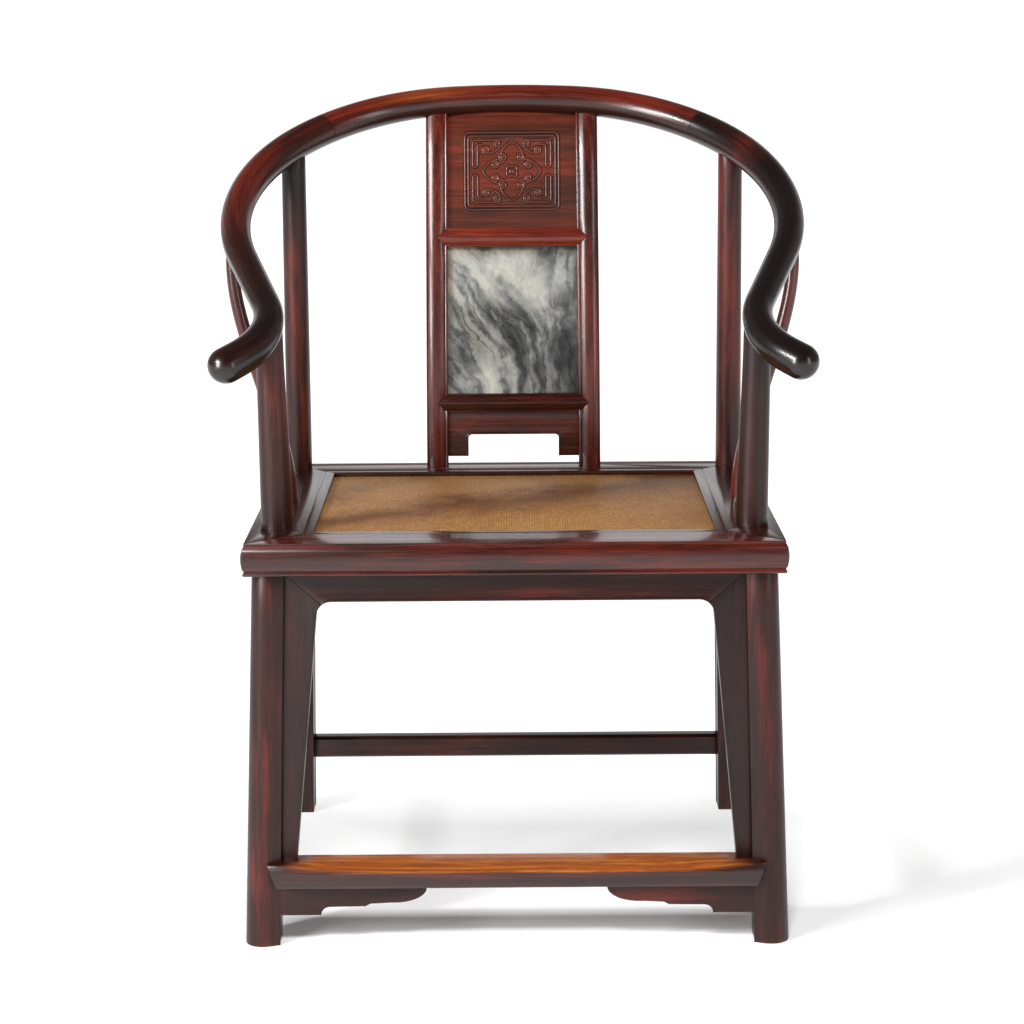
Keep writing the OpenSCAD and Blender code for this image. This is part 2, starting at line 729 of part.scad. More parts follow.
// Board that follows the splat's sweep between two heights, centred on its middle plane
carved_half = splat_half(carved_z) - stile_w + groove_d;
marble_half = splat_half(marble_z) - stile_w + groove_d;
lower_half = splat_half(lower_rail_z) - stile_w + groove_d;
board_steps = 8;
module splat_board(z0, z1, half, t, grow = 0) {
    z = [for (i = [0:board_steps]) mix(z0 - grow, z1 + grow, i / board_steps)];
    front = [for (h = z) [splat_y(h) - (t / 2 + grow) / cos(splat_lean(h)), h]];
    rear = [for (h = z) [splat_y(h) + (t / 2 + grow) / cos(splat_lean(h)), h]];
    translate([-half - grow, 0, 0]) rotate([90, 0, 90])
        linear_extrude(2 * (half + grow)) polygon(concat(front, reversed(rear)));
}
module carved_board(grow = 0) splat_board(carved_z - groove_d, splat_top[2], carved_half, panel_t, grow);
module marble_board(grow = 0)
    splat_board(marble_z - groove_d, middle_rail_z + groove_d, marble_half, marble_t, grow);
module lower_board(grow = 0)
    splat_board(seat_h + foot_panel_rise, lower_rail_z + groove_d, lower_half, panel_t, grow);

// Cross rail of the splat: a rounded face between two beads, whose ends run to a point on the stiles
module splat_rail_tenon(z, g = 0) {
    on_axis([0, splat_y(z), z], splat_dir(z))
        box([-splat_half(z) + 8 - g, -3.5 - g, -6 - g], [splat_half(z) - 8 + g, 3.5 + g, 6 + g]);
}
point_depth = 3.5;
// Space of the two points, in front of the stiles' bodies
module splat_rail_points(bottom, h, g = 0) {
    z = bottom + h / 2;
    rise = h / 2 - stile_bead_w * 0.6 + g;
    half = splat_half(z) - stile_w + stile_bead_w + g * 0.4;
    on_axis([0, splat_y(z), z], splat_dir(z)) translate([0, stile_front - stile_swell - over, 0])
        stood(stile_swell + over + point_depth + g) polygon([
            [-half, -rise], [half, -rise], [half + rise, 0], [half, rise], [-half, rise], [-half - rise, 0]
        ]);
}
module splat_rail_profile(z, h, half) {
    t = splat_rail_t;
    body_h = h - stile_bead_w * 1.2;
    round_r = (body_h * body_h / 4 + stile_swell * stile_swell) / (2 * stile_swell);
    bead_r = stile_bead_w * 0.3;
    on_axis([0, splat_y(z), z], splat_dir(z)) translate([-half, 0, 0]) rotate([90, 0, 90])
        linear_extrude(2 * half) union() {
            translate([-t / 2, -h / 2]) square([t, h]);
            intersection() {
                translate([-t / 2 - stile_swell + round_r, 0]) circle(r = round_r);
                translate([-t / 2 - stile_swell, -body_h / 2]) square([stile_swell + 1, body_h]);
            }
            for (side = [-1, 1]) translate([-t / 2, side * (h / 2 - bead_r)]) circle(r = bead_r, $fn = 12);
        }
}
module splat_rail(bottom, h) {
    z = bottom + h / 2;
    half = splat_half(z) - stile_w - gap;
    color(WOOD) union() {
        difference() {
            splat_rail_profile(z, h, half);
            carved_board(gap);
            marble_board(gap);
            lower_board(gap);
        }
        intersection() {
            splat_rail_profile(z, h, half + stile_w);
            splat_rail_points(bottom, h);
        }
        splat_rail_tenon(z);
    }
}

// Upper panel, fitted under the crest
module splat_carved_panel() color(WOOD) difference() {
    carved_board();
    rail_stretch(-carved_half - 20, carved_half + 20, gap);
}

// Marble panel, with its edges in the grooves of the stiles and rails
module splat_marble() color(MARBLE) marble_board();

// Panel at the foot of the splat, open between its two feet, with a bead along that edge
module foot_opening(grow) {
    z0 = seat_h + foot_panel_rise - grow;
    z1 = seat_h + foot_panel_rise + foot_opening_h + grow;
    w = foot_opening_w / 2 + grow;
    r = foot_opening_r + grow;
    translate([-w, z0 - foot_panel_rise]) square([2 * w, z1 - z0 + foot_panel_rise - r]);
    translate([-w + r, z0]) square([2 * w - 2 * r, z1 - z0]);
    for (s = [-1, 1]) translate([s * (w - r), z1 - r]) circle(r = r, $fn = 24);
}
module splat_lower_panel() {
    color(WOOD) difference() {
        union() {
            lower_board();
            intersection() {
                splat_board(seat_h + foot_panel_rise, lower_rail_z - gap,
                    splat_half(lower_rail_z) - stile_w - gap, panel_t + 2 * bead_h);
                translate([0, back(seat_d), 0]) rotate([90, 0, 0]) linear_extrude(seat_d)
                    foot_opening(bead_w);
                box([-half_w, back(0), 0], [half_w, splat_top[1], seat_h + lower_rail_rise]);
            }
        }
        translate([0, back(seat_d) + over, 0]) rotate([90, 0, 0]) linear_extrude(seat_d) foot_opening(0);
    }
}

// Seat frame: four mitred rails with a moulded edge, a ledge for the mat and a groove for the board
ledge_z = -strip_t - mat_t;
groove_z = ledge_z - (board_t - board_tongue_t) / 2 - board_tongue_t;
bulge_z = -bulge_lip - bulge_h / 2;
bulge_r = (bulge_h * bulge_h / 4 + seat_bulge * seat_bulge) / (2 * seat_bulge);
// Section with x inwards from the lip and y up from the bottom to the top face at 0
module frame_section(w) difference() {
    union() {
        translate([0, -frame_t]) square([w, frame_t]);
        intersection() {
            translate([bulge_r - seat_bulge, bulge_z]) circle(r = bulge_r);
            translate([-seat_bulge - 1, bulge_z - bulge_h / 2]) square([seat_bulge + 2, bulge_h]);
        }
        translate([0.8, -frame_t + 2.4]) circle(r = 2.4);
    }
    translate([w - strip_w, ledge_z]) square([strip_w + over, -ledge_z + over]);
    translate([w - board_tongue_l - gap, groove_z - gap])
        square([board_tongue_l + over, board_tongue_t + 2 * gap]);
}
// Plan of one corner's mitre line, run on past both of its ends
front_mitre = [[half_w, 0], [inner_x, inner_front]];
back_mitre = [[half_w, seat_d], [inner_x, inner_back]];
function stretched(line, k) = [line[0] - k * (line[1] - line[0]), line[1] + k * (line[1] - line[0])];
module plan(points) translate([0, 0, frame_bottom - over]) linear_extrude(frame_t + 2 * over) intersection() {
    polygon([for (p = points) [p[0], back(p[1])]]);
    seat_outline();
}
// Seat's outline at its moulded edge, with rounded corners
module seat_outline() {
    w = half_w + seat_bulge + 1;
    y0 = back(-seat_bulge - 1);
    y1 = back(seat_d + seat_bulge + 1);
    r = seat_corner_r;
    translate([-w, y0 + r]) square([2 * w, y1 - y0 - 2 * r]);
    translate([-w + r, y0]) square([2 * w - 2 * r, y1 - y0]);
    for (x = [-w + r, w - r], y = [y0 + r, y1 - r]) translate([x, y]) circle(r = r);
}

module frame_tenon(y, g = 0) {
    z = seat_h - frame_t / 2;
    box([inner_x - 4 - g, back(y) - frame_tenon_w / 2 - g, z - frame_tenon_t / 2 - g],
        [half_w - 10 + g, back(y) + frame_tenon_w / 2 + g, z + frame_tenon_t / 2 + g]);
}
front_tenon_y = inner_front - board_tongue_l - 1 - frame_tenon_w / 2;
back_tenon_y = inner_back + board_tongue_l + 1 + frame_tenon_w / 2;

module frame_mortises() for (side = [0, 1]) mirror([side, 0, 0]) {
    front_leg_tenon(gap);
    rear_post(gap);
    stile_seat_tenon(gap);
    front_post_tenon(gap);
    side_post_tenon(gap);
}
module seat_frame_front() {
    m = stretched(front_mitre, 0.2);
    color(WOOD) difference() {
        union() {
            intersection() {
                translate([-half_w - 20, back(0), seat_h]) rotate([90, 0, 90])
                    linear_extrude(seat_w + 40) frame_section(front_rail_w);
                plan([m[0], m[1], [-m[1][0], m[1][1]], [-m[0][0], m[0][1]]]);
            }
            for (side = [0, 1]) mirror([side, 0, 0]) frame_tenon(front_tenon_y);
        }
        frame_mortises();
        for (side = [0, 1]) mirror([side, 0, 0]) batten_tenon(gap);
    }
}
module seat_frame_back() {
    m = stretched(back_mitre, 0.2);
    color(WOOD) difference() {
        union() {
            intersection() {
                translate([half_w + 20, back(seat_d), seat_h]) rotate([90, 0, -90])
                    linear_extrude(seat_w + 40) frame_section(back_rail_w);
                plan([m[0], m[1], [-m[1][0], m[1][1]], [-m[0][0], m[0][1]]]);
            }
            for (side = [0, 1]) mirror([side, 0, 0]) frame_tenon(back_tenon_y);
        }
        frame_mortises();
        for (side = [0, 1]) mirror([side, 0, 0]) batten_tenon(gap);
    }
}
module seat_frame_side() {
    f = stretched(front_mitre, 0.2);
    b = stretched(back_mitre, 0.2);
    g = [0, 2 * gap];
    color(WOOD) difference() {
        intersection() {
            translate([half_w, back(-20), seat_h]) rotate([90, 0, 180])
                linear_extrude(seat_d + 40) frame_section(side_rail_w);
            plan([f[0] + g, f[1] + g, b[1] - g, b[0] - g]);
        }
        frame_mortises();
        frame_tenon(front_tenon_y, gap);
        frame_tenon(back_tenon_y, gap);
    }
}

// Strips over the mat's edges, mitred at the corners
module mat_strips(which) {
    x0 = inner_x + strip_w - gap;
    y0 = inner_front - strip_w + gap;
    y1 = inner_back + strip_w - gap;
    w = strip_w - 2 * gap;
    g = gap;
    plans = [
        [[-x0 + g, y0], [x0 - g, y0], [x0 - w - g, y0 + w], [-x0 + w + g, y0 + w]],
        [[-x0 + g, y1], [x0 - g, y1], [x0 - w - g, y1 - w], [-x0 + w + g, y1 - w]],
        [[-x0, y0 + g], [-x0 + w, y0 + w + g], [-x0 + w, y1 - w - g], [-x0, y1 - g]],
        [[x0, y0 + g], [x0 - w, y0 + w + g], [x0 - w, y1 - w - g], [x0, y1 - g]]
    ];
    color(DARK_WOOD) translate([0, 0, seat_h - strip_t]) linear_extrude(strip_t)
        polygon([for (p = plans[which]) [p[0], back(p[1])]]);
}

// Woven mat, flat on the board, with its edges under the strips
module seat_mat() {
    e = strip_w - 1;
    color(MAT) box([-inner_x - e, back(inner_front - e), seat_h + ledge_z + gap],
        [inner_x + e, back(inner_back + e), seat_h - strip_t - gap]);
}

// Board in the frame, with a tongue all round
module seat_board() {
    z = seat_h + ledge_z - board_t;
    g = gap;
    t = board_tongue_l - 1;
    color(WORN_WOOD) union() {
        box([-inner_x + g, back(inner_front + g), z], [inner_x - g, back(inner_back - g), z + board_t]);
        box([-inner_x - t, back(inner_front - t), seat_h + groove_z],
            [inner_x + t, back(inner_back + t), seat_h + groove_z + board_tongue_t]);
    }
}

// Battens that run from front to back under the board, tenoned in the front and back rails
batten_top = seat_h + ledge_z - board_t - gap;
module batten_tenon(g = 0) {
    z = [frame_bottom + 4, batten_top - 3];
    box([batten_x - batten_w / 2 + 4 - g, back(inner_front - 14) - g, z[0] - g],
        [batten_x + batten_w / 2 - 4 + g, back(inner_back + 14) + g, z[1] + g]);
}
module seat_batten() color(WORN_WOOD) union() {
    box([batten_x - batten_w / 2, back(inner_front + gap), frame_bottom],
        [batten_x + batten_w / 2, back(inner_back - gap), batten_top]);
    batten_tenon();
}

// Apron sets: an arched opening between two legs, in a plane that leans with the legs.
// Edges are lines x = x0 - k0 * h and x = x1 + k1 * h, with h the drop below the seat frame.
function arch(edges, top, bottom, r, grow) =
    let (x0 = edges[0], k0 = edges[1], x1 = edges[2], k1 = edges[3])
    let (h = top + r, n0 = sqrt(1 + k0 * k0), n1 = sqrt(1 + k1 * k1))
        concat(
            [[x1 + k1 * bottom + grow * n1, -bottom]],
            arc_points([x1 + k1 * h - r * n1, -h], r + grow, atan(k1), 90),
            arc_points([x0 - k0 * h + r * n0, -h], r + grow, 90, 180 - atan(k0)),
            [[x0 - k0 * bottom - grow * n0, -bottom]]
        );
// Stands a flat outline up: its x stays, its y turns to z, and its thickness runs back from y = 0
module stood(t) translate([0, t, 0]) rotate([90, 0, 0]) linear_extrude(t) children();

// One piece of a set: part 0 is the top board, 1 and 2 are the uprights at the low and the high x
module apron_piece(legs, opening, top, bottom, part) {
    outline = [
        [legs[0] + gap, -gap], [legs[2] - gap, -gap],
        [legs[2] + legs[3] * bottom - gap, -bottom], [legs[0] - legs[1] * bottom + gap, -bottom]
    ];
    corner = [[opening[0] - opening[1] * top, -top], [opening[2] + opening[3] * top, -top]];
    outer = [[legs[0], 0], [legs[2], 0]];
    a = [for (i = [0, 1]) stretched([outer[i], corner[i]], 0.4)];
    middle = (corner[0][0] + corner[1][0]) / 2;
    drop = [0, -gap];
    low = -bottom - over;
    regions = [
        [a[0][0], a[0][1], a[1][1], a[1][0]],
        [a[0][0] + drop, a[0][1] + drop, [middle - 1, low], [outer[0][0] - bottom, low]],
        [a[1][0] + drop, a[1][1] + drop, [middle + 1, low], [outer[1][0] + bottom, low]]
    ];
    stood(apron_t) intersection() {
        difference() {
            polygon(outline);
            polygon(arch(opening, top, bottom + over, apron_corner_r, 0));
        }
        polygon(regions[part]);
    }
    translate([0, -bead_h, 0]) stood(bead_h + 1) intersection() {
        difference() {
            polygon(arch(opening, top, bottom, apron_corner_r, bead_w));
            polygon(arch(opening, top, bottom + over, apron_corner_r, 0));
        }
        polygon(regions[part]);
    }
}

// Front set, whose uprights stand on the footrest
leg_taper = (foot_d - leg_d) / 2 / frame_bottom;
front_lean = atan(front_splay_forward / frame_bottom);
front_out = front_splay_out / frame_bottom - leg_taper;
front_edge = front_leg_top[0] - leg_d / 2;
front_reach = frame_bottom - footrest_top - gap;
front_open_top = front_edge - apron_side_w;
front_open_foot = front_edge + front_out * front_reach - apron_foot_w;
front_open_k = (front_open_foot - front_open_top) / (front_reach - apron_drop);
front_open_x = front_open_top - front_open_k * apron_drop;
module front_set(part)
    color(WOOD) translate([0, front_leg_top[1] - leg_d / 2 + apron_setback, frame_bottom])
        rotate([-front_lean, 0, 0])
        apron_piece([-front_edge, front_out, front_edge, front_out],
            [-front_open_x, front_open_k, front_open_x, front_open_k], apron_drop, front_reach, part);

// Set at each side, whose uprights stand on the side stretcher
flank_bottom = frame_bottom - side_stretcher_h - stretcher_h / 2 - gap;
flank_front = front_leg_top[1] + leg_d / 2;
flank_front_k = front_splay_forward / frame_bottom - leg_taper;
flank_rear = rear_leg_top[1] - rear_leg_d / 2;
flank_rear_k = (rear_splay_back - (rear_foot_d - rear_leg_d) / 2) / frame_bottom;
flank_lean = atan((front_splay_out + rear_splay_out) / 2 / frame_bottom);
flank_drop = apron_drop - 4;
module flank_set(part)
    color(WOOD) translate([front_leg_top[0] + leg_d / 2 - apron_setback, 0, frame_bottom])
        rotate([0, -flank_lean, 0]) rotate([0, 0, 90])
        apron_piece([flank_front, flank_front_k, flank_rear, flank_rear_k],
            [flank_front + flank_apron_w, flank_front_k, flank_rear - flank_apron_w, flank_rear_k],
            flank_drop, flank_bottom, part);

// Board under the back rail, with one long shallow arch
module back_apron() {
    edge = rear_leg_top[0] - rear_leg_d / 2 - 2 * gap;
    k = (rear_splay_out - (rear_foot_d - rear_leg_d) / 2) / frame_bottom;
    lean = atan(rear_splay_back / frame_bottom);
    arch_x = edge - apron_side_w;
    arch_top = apron_drop - apron_corner_r + 4;
    y = rear_leg_top[1] + rear_leg_d / 2 - apron_setback - apron_t;
    color(WOOD) intersection() {
        translate([0, y, frame_bottom]) rotate([lean, 0, 0]) stood(apron_t) difference() {
            polygon([[-edge, apron_t], [-edge - k * apron_drop, -apron_drop],
                [edge + k * apron_drop, -apron_drop], [edge, apron_t]]);
            polygon(arch([-arch_x, 0, arch_x, 0], arch_top, apron_drop + apron_corner_r, apron_corner_r, 0));
        }
        box([-half_w, y - apron_t, 0], [half_w, y + 2 * apron_t, frame_bottom - gap]);
    }
}

// Footrest: flat on top, rounded in front, its ends slanted over the faces of the legs
footrest_z = footrest_top - footrest_h;
footrest_axis = on_line(front_foot, front_leg_top, footrest_z + footrest_h / 2);
footrest_front = footrest_axis[1] - leg_r(footrest_axis[2]) - footrest_proud;
footrest_round_r = 30;
module footrest_tenon(g = 0) {
    z = footrest_axis[2];
    y = footrest_axis[1];
    inner = footrest_axis[0] - leg_r(z);
    box([inner - 20, y - bar_tenon_t / 2 - g, z - bar_tenon_h / 2 - g],
        [inner + bar_tenon_l + g, y + bar_tenon_t / 2 + g, z + bar_tenon_h / 2 + g]);
}
// Hollow worn into the top: deepest along the front edge, and level with the top at the back
module footrest_worn_space() {
    slope = atan(footrest_wear / footrest_depth);
    w = footrest_reach - 22;
    hollow = [for (i = [0:24]) let (t = i / 12 - 1) [t * w, footrest_wear * (pow(t, 4) - 1)]];
    translate([0, footrest_front, footrest_top]) rotate([slope, 0, 0]) translate([0, -footrest_depth / 2, 0])
        stood(2 * footrest_depth) polygon(concat(hollow, [[w, footrest_h], [-w, footrest_h]]));
}
module footrest() {
    w = footrest_reach;
    z = footrest_z;
    color(WORN_WOOD) union() {
        difference() {
            intersection() {
                translate([-w, footrest_front, z]) rotate([90, 0, 90]) linear_extrude(2 * w) intersection() {
                    square([footrest_depth, footrest_h]);
                    union() {
                        translate([footrest_round_r, footrest_h * 0.46]) circle(r = footrest_round_r);
                        translate([footrest_round_r, 0]) square([footrest_depth, footrest_h]);
                    }
                }
                translate([0, footrest_front - over, z]) stood(footrest_depth + 2 * over) polygon([
                    [-w + footrest_slant, -over], [w - footrest_slant, -over],
                    [w, footrest_h], [w, footrest_h + over], [-w, footrest_h + over], [-w, footrest_h]
                ]);
            }
            for (side = [0, 1]) mirror([side, 0, 0]) front_leg_blank(gap);
            footrest_worn_space();
        }
        for (side = [0, 1]) mirror([side, 0, 0]) footrest_tenon();
    }
}

// Bracket under the footrest: one long cusped edge that rises in steps from the leg
module footrest_bracket() {
    d = bracket_drop;
    l = bracket_reach;
    inner = on_line(front_foot, front_leg_top, footrest_z)[0] - leg_r(footrest_z);
    low = on_line(front_foot, front_leg_top, footrest_z - d)[0] - leg_r(footrest_z - d);
    tip = inner - l;
    front = footrest_axis[1] - leg_r(footrest_axis[2]) + apron_setback / 2;
    scoop_r = 0.27 * d;
    end_w = 0.22 * l;
    color(WOOD) translate([0, front, footrest_z]) stood(bracket_t) polygon(concat(
        [[inner - gap, -gap], [low - gap, -d], [low - 0.34 * l + scoop_r, -d]],
        arc_points([low - 0.34 * l, -d], scoop_r, 0, 90, 4),
        [[low - 0.585 * l, -0.716 * d], [low - 0.62 * l, -0.63 * d], [tip + 0.26 * l, -0.6 * d]],
        [for (i = [0:8]) let (a = 270 - 10 * i) [tip + end_w + end_w * cos(a), -0.1 * d + 0.5 * d * sin(a)]],
        [[tip, -gap]]
    ));
}

// Stretchers between two legs: a rounded bar, shaped to the legs, with tenons
module stretcher_bar(p, q) {
    t = unit(q - p);
    l = norm(q - p);
    // The bar's own height stays upright, because its line is level
    multmatrix([
        [t[0], t[1], 0, p[0]],
        [t[1], -t[0], 0, p[1]],
        [0, 0, 1, p[2]]
    ]) rotate([90, 0, 90]) linear_extrude(l) intersection() {
        square([stretcher_depth, stretcher_h], center = true);
        circle(d = stretcher_h + 3);
    }
}
rear_axis_side = on_line(rear_foot, rear_leg_top, side_stretcher_h);
front_axis_side = on_line(front_foot, front_leg_top, side_stretcher_h);
rear_axis_back = on_line(rear_foot, rear_leg_top, back_stretcher_h);
module side_stretcher_tenons(g = 0) {
    t = unit(rear_axis_side - front_axis_side);
    l = norm(rear_axis_side - front_axis_side);
    d = leg_r(side_stretcher_h) - bar_tenon_l;
    e = rear_leg_r(side_stretcher_h) - bar_tenon_l;
    multmatrix([
        [t[0], t[1], 0, front_axis_side[0]],
        [t[1], -t[0], 0, front_axis_side[1]],
        [0, 0, 1, front_axis_side[2]]
    ]) box([d - g, -bar_tenon_t / 2 - g, -bar_tenon_h / 2 - g],
        [l - e + g, bar_tenon_t / 2 + g, bar_tenon_h / 2 + g]);
}
module side_stretcher() color(WOOD) union() {
    difference() {
        stretcher_bar(front_axis_side, rear_axis_side);
        front_leg_blank(gap);
        rear_leg_blank(gap);
    }
    side_stretcher_tenons();
}
module back_stretcher_tenon(g = 0) {
    p = rear_axis_back;
    w = p[0] - rear_leg_r(back_stretcher_h) + bar_tenon_l;
    box([-w - g, p[1] - bar_tenon_t / 2 - g, p[2] - bar_tenon_h / 2 - g],
        [w + g, p[1] + bar_tenon_t / 2 + g, p[2] + bar_tenon_h / 2 + g]);
}
module back_stretcher() color(WOOD) union() {
    difference() {
        stretcher_bar([-rear_axis_back[0], rear_axis_back[1], rear_axis_back[2]], rear_axis_back);
        rear_leg_blank(gap);
        left() rear_leg_blank(gap);
    }
    back_stretcher_tenon();
}

left() front_leg();  // front_leg_left
front_leg();  // front_leg_right
left() rear_leg();  // rear_leg_left
rear_leg();  // rear_leg_right
left() front_post();  // front_post_left
front_post();  // front_post_right
left() side_post();  // side_post_left
side_post();  // side_post_right
arm_rail_back();
left() arm_rail_side();  // arm_rail_left
arm_rail_side();  // arm_rail_right
left() rail_peg();  // rail_peg_left
rail_peg();  // rail_peg_right
left() stile();  // splat_stile_left
stile();  // splat_stile_right
splat_rail(middle_rail_z, middle_rail_h);  // splat_middle_rail
splat_rail(lower_rail_z, lower_rail_h);  // splat_lower_rail
splat_carved_panel();
splat_marble();
splat_lower_panel();
seat_frame_front();
seat_frame_back();
left() seat_frame_side();  // seat_frame_left
seat_frame_side();  // seat_frame_right
mat_strips(0);  // mat_strip_front
mat_strips(1);  // mat_strip_back
mat_strips(2);  // mat_strip_left
mat_strips(3);  // mat_strip_right
seat_mat();
seat_board();
left() seat_batten();  // seat_batten_left
seat_batten();  // seat_batten_right
front_set(0);  // front_apron
front_set(1);  // front_apron_side_left
front_set(2);  // front_apron_side_right
left() flank_set(0);  // flank_apron_left
flank_set(0);  // flank_apron_right
left() flank_set(1);  // flank_upright_front_left
flank_set(1);  // flank_upright_front_right
left() flank_set(2);  // flank_upright_rear_left
flank_set(2);  // flank_upright_rear_right
back_apron();
footrest();
left() footrest_bracket();  // footrest_bracket_left
footrest_bracket();  // footrest_bracket_right
left() side_stretcher();  // side_stretcher_left
side_stretcher();  // side_stretcher_right
back_stretcher();
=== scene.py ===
"""Horseshoe-back armchair of dark polished hardwood, with a marble panel and a woven mat."""

import math

import bmesh
import bpy
import numpy as np
from bpy.props import FloatProperty, FloatVectorProperty, IntProperty, PointerProperty
from mathutils import Matrix, Vector


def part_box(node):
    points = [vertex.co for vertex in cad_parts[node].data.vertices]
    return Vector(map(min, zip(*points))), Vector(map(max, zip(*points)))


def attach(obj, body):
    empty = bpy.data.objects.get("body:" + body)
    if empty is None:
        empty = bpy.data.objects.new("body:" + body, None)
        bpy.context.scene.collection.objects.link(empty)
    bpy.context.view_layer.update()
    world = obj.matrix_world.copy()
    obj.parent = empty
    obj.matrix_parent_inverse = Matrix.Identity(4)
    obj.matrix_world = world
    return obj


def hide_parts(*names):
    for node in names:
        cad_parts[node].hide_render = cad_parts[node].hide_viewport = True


bl_info = {
    "name": "Horseshoe-back armchair",
    "version": (1, 0, 0),
    "blender": (4, 5, 0),
    "location": "View3D > Sidebar > Armchair",
    "description": "Dresses the armchair's solids in smooth pieces, wood, marble and woven cane",
    "category": "Object",
}

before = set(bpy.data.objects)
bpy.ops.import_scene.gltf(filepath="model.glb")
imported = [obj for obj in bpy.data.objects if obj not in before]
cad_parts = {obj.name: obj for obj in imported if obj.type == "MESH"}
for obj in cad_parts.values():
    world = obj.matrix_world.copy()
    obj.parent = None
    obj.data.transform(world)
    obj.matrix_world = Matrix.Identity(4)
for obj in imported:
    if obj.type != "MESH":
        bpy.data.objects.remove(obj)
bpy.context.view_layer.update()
MM = 0.001
# Directions of the grain
ACROSS, BACK, UP = (1, 0, 0), (0, 1, 0), (0, 0, 1)
# The seat's front edge and top, from which the posts and the camera are placed
SEAT_FRONT = -0.25375
SEAT_TOP = 0.484


def linear(text):
    """An sRGB hex colour as linear values."""
    parts = [int(text[i : i + 2], 16) / 255 for i in (1, 3, 5)]
    return [c / 12.92 if c <= 0.04045 else ((c + 0.055) / 1.055) ** 2.4 for c in parts]


def rgba(colour):
    return [*colour, 1.0]


# Sizes and colours that a user may change


def length_setting(name, default, description):
    return FloatProperty(name=name, description=description, default=default, unit="LENGTH")


def angle_setting(name, degrees, description):
    return FloatProperty(name=name, description=description, default=math.radians(degrees), unit="ROTATION")


def colour_setting(name, text, description):
    return FloatVectorProperty(
        name=name, description=description, default=linear(text), subtype="COLOR", min=0, max=1
    )


class RailSizes(bpy.types.PropertyGroup):
    """Centre line and thickness of the horseshoe rail, as the solids have them."""

    tilt: angle_setting("Tilt", 28.8, "Slope of the rail's plane")
    crest_radius: length_setting("Crest radius", 0.740, "Radius of the shallow curve at the back")
    crest_turn: angle_setting("Crest turn", 6, "Turn of that curve on each side")
    shoulder_radius: length_setting("Shoulder radius", 0.300, "Radius between crest and flank")
    shoulder_turn: angle_setting("Shoulder turn", 41, "Turn of the shoulder")
    flank_radius: length_setting("Flank radius", 0.250, "Radius where the rail comes round")
    flank_turn: angle_setting("Flank turn", 63, "Turn of the flank")
    arm_straight: length_setting("Arm straight", 0.097, "Straight stretch behind the neck")
    neck_radius: length_setting("Neck radius", 0.098, "Radius where the arm turns outwards")
    neck_turn: angle_setting("Neck turn", 66, "Turn of the neck")
    hand_length: length_setting("Hand length", 0.0365, "Length of the hand past the neck")
    crest_width: length_setting("Crest thickness", 0.036, "Diameter at the middle of the back")
    shoulder_width: length_setting("Shoulder thickness", 0.039, "Diameter at the shoulder")
    neck_width: length_setting("Neck thickness", 0.034, "Diameter at the neck")
    hand_width: length_setting("Hand thickness", 0.041, "Diameter of the hand")
    lap_place: length_setting("Lap place", 0.284, "Middle of a lap joint along the rail")
    lap_length: length_setting("Lap length", 0.064, "Length of a lap joint")
    sides: IntProperty(name="Sides", description="Sides of the round rail", default=48, min=12, max=96)


class FinishColours(bpy.types.PropertyGroup):
    """Colours of the finishes."""

    red_wood: colour_setting("Red wood", "#601e12", "Lit grain of the frame's hardwood")
    deep_wood: colour_setting("Deep wood", "#2c0f0a", "Dark grain of the frame's hardwood")
    black_wood: colour_setting("Black wood", "#110908", "Handled, blackened wood of the arms")
    gold_wood: colour_setting("Gold wood", "#9c5722", "Worn wood where the finish has gone")
    # Pale colour of rubbed arrises, also of the painted highlights on arrises and ridges and of the painted
    # sheen on the carved panel
    pale_wear_and_sheen: colour_setting("Worn edge", "#a5795f", "Rubbed arrises")
    marble_pale: colour_setting("Marble", "#9e9c93", "Pale ground of the marble")
    marble_dark: colour_setting("Marble vein", "#2c2d2e", "Dark veins of the marble")
    cane: colour_setting("Cane", "#9d6d3a", "Split cane of the mat")
    cane_shade: colour_setting("Cane shade", "#6b4520", "Darkest strands of the mat")


# Node helper and materials


def add(tree, kind, links=None, **settings):
    """Adds a node to a tree.

    settings are its properties. links gives each input, by name or place, a value or a socket."""
    node = tree.nodes.new(kind)
    for name, value in settings.items():
        setattr(node, name, value)
    for key, value in (links or {}).items():
        if isinstance(value, bpy.types.NodeSocket):
            tree.links.new(value, node.inputs[key])
        else:
            node.inputs[key].default_value = value
    return node


def ramp(tree, factor, stops):
    """A colour ramp over (place, colour) stops."""
    node = add(tree, "ShaderNodeValToRGB", {"Fac": factor})
    elements = node.color_ramp.elements
    while len(elements) < len(stops):
        elements.new(0.5)
    for element, (place, colour) in zip(elements, stops):
        element.position = place
        element.color = rgba(colour)
    return node


def grey(value):
    return [value, value, value]


def mixed(a, b, share):
    """The colour that lies a share of the way from a to b."""
    return [x + (y - x) * share for x, y in zip(a, b)]


def new_material(name):
    """An empty node material with its output's shader."""
    material = bpy.data.materials.new(name)
    material.use_nodes = True
    tree = material.node_tree
    return material, tree, tree.nodes["Principled BSDF"]


def stretched(tree, vector, across, along):
    """The grain's own coordinates, scaled per metre across the fibres and along them."""
    return add(
        tree, "ShaderNodeMapping", {"Vector": vector, "Scale": (across, across, along)}
    ).outputs["Vector"]


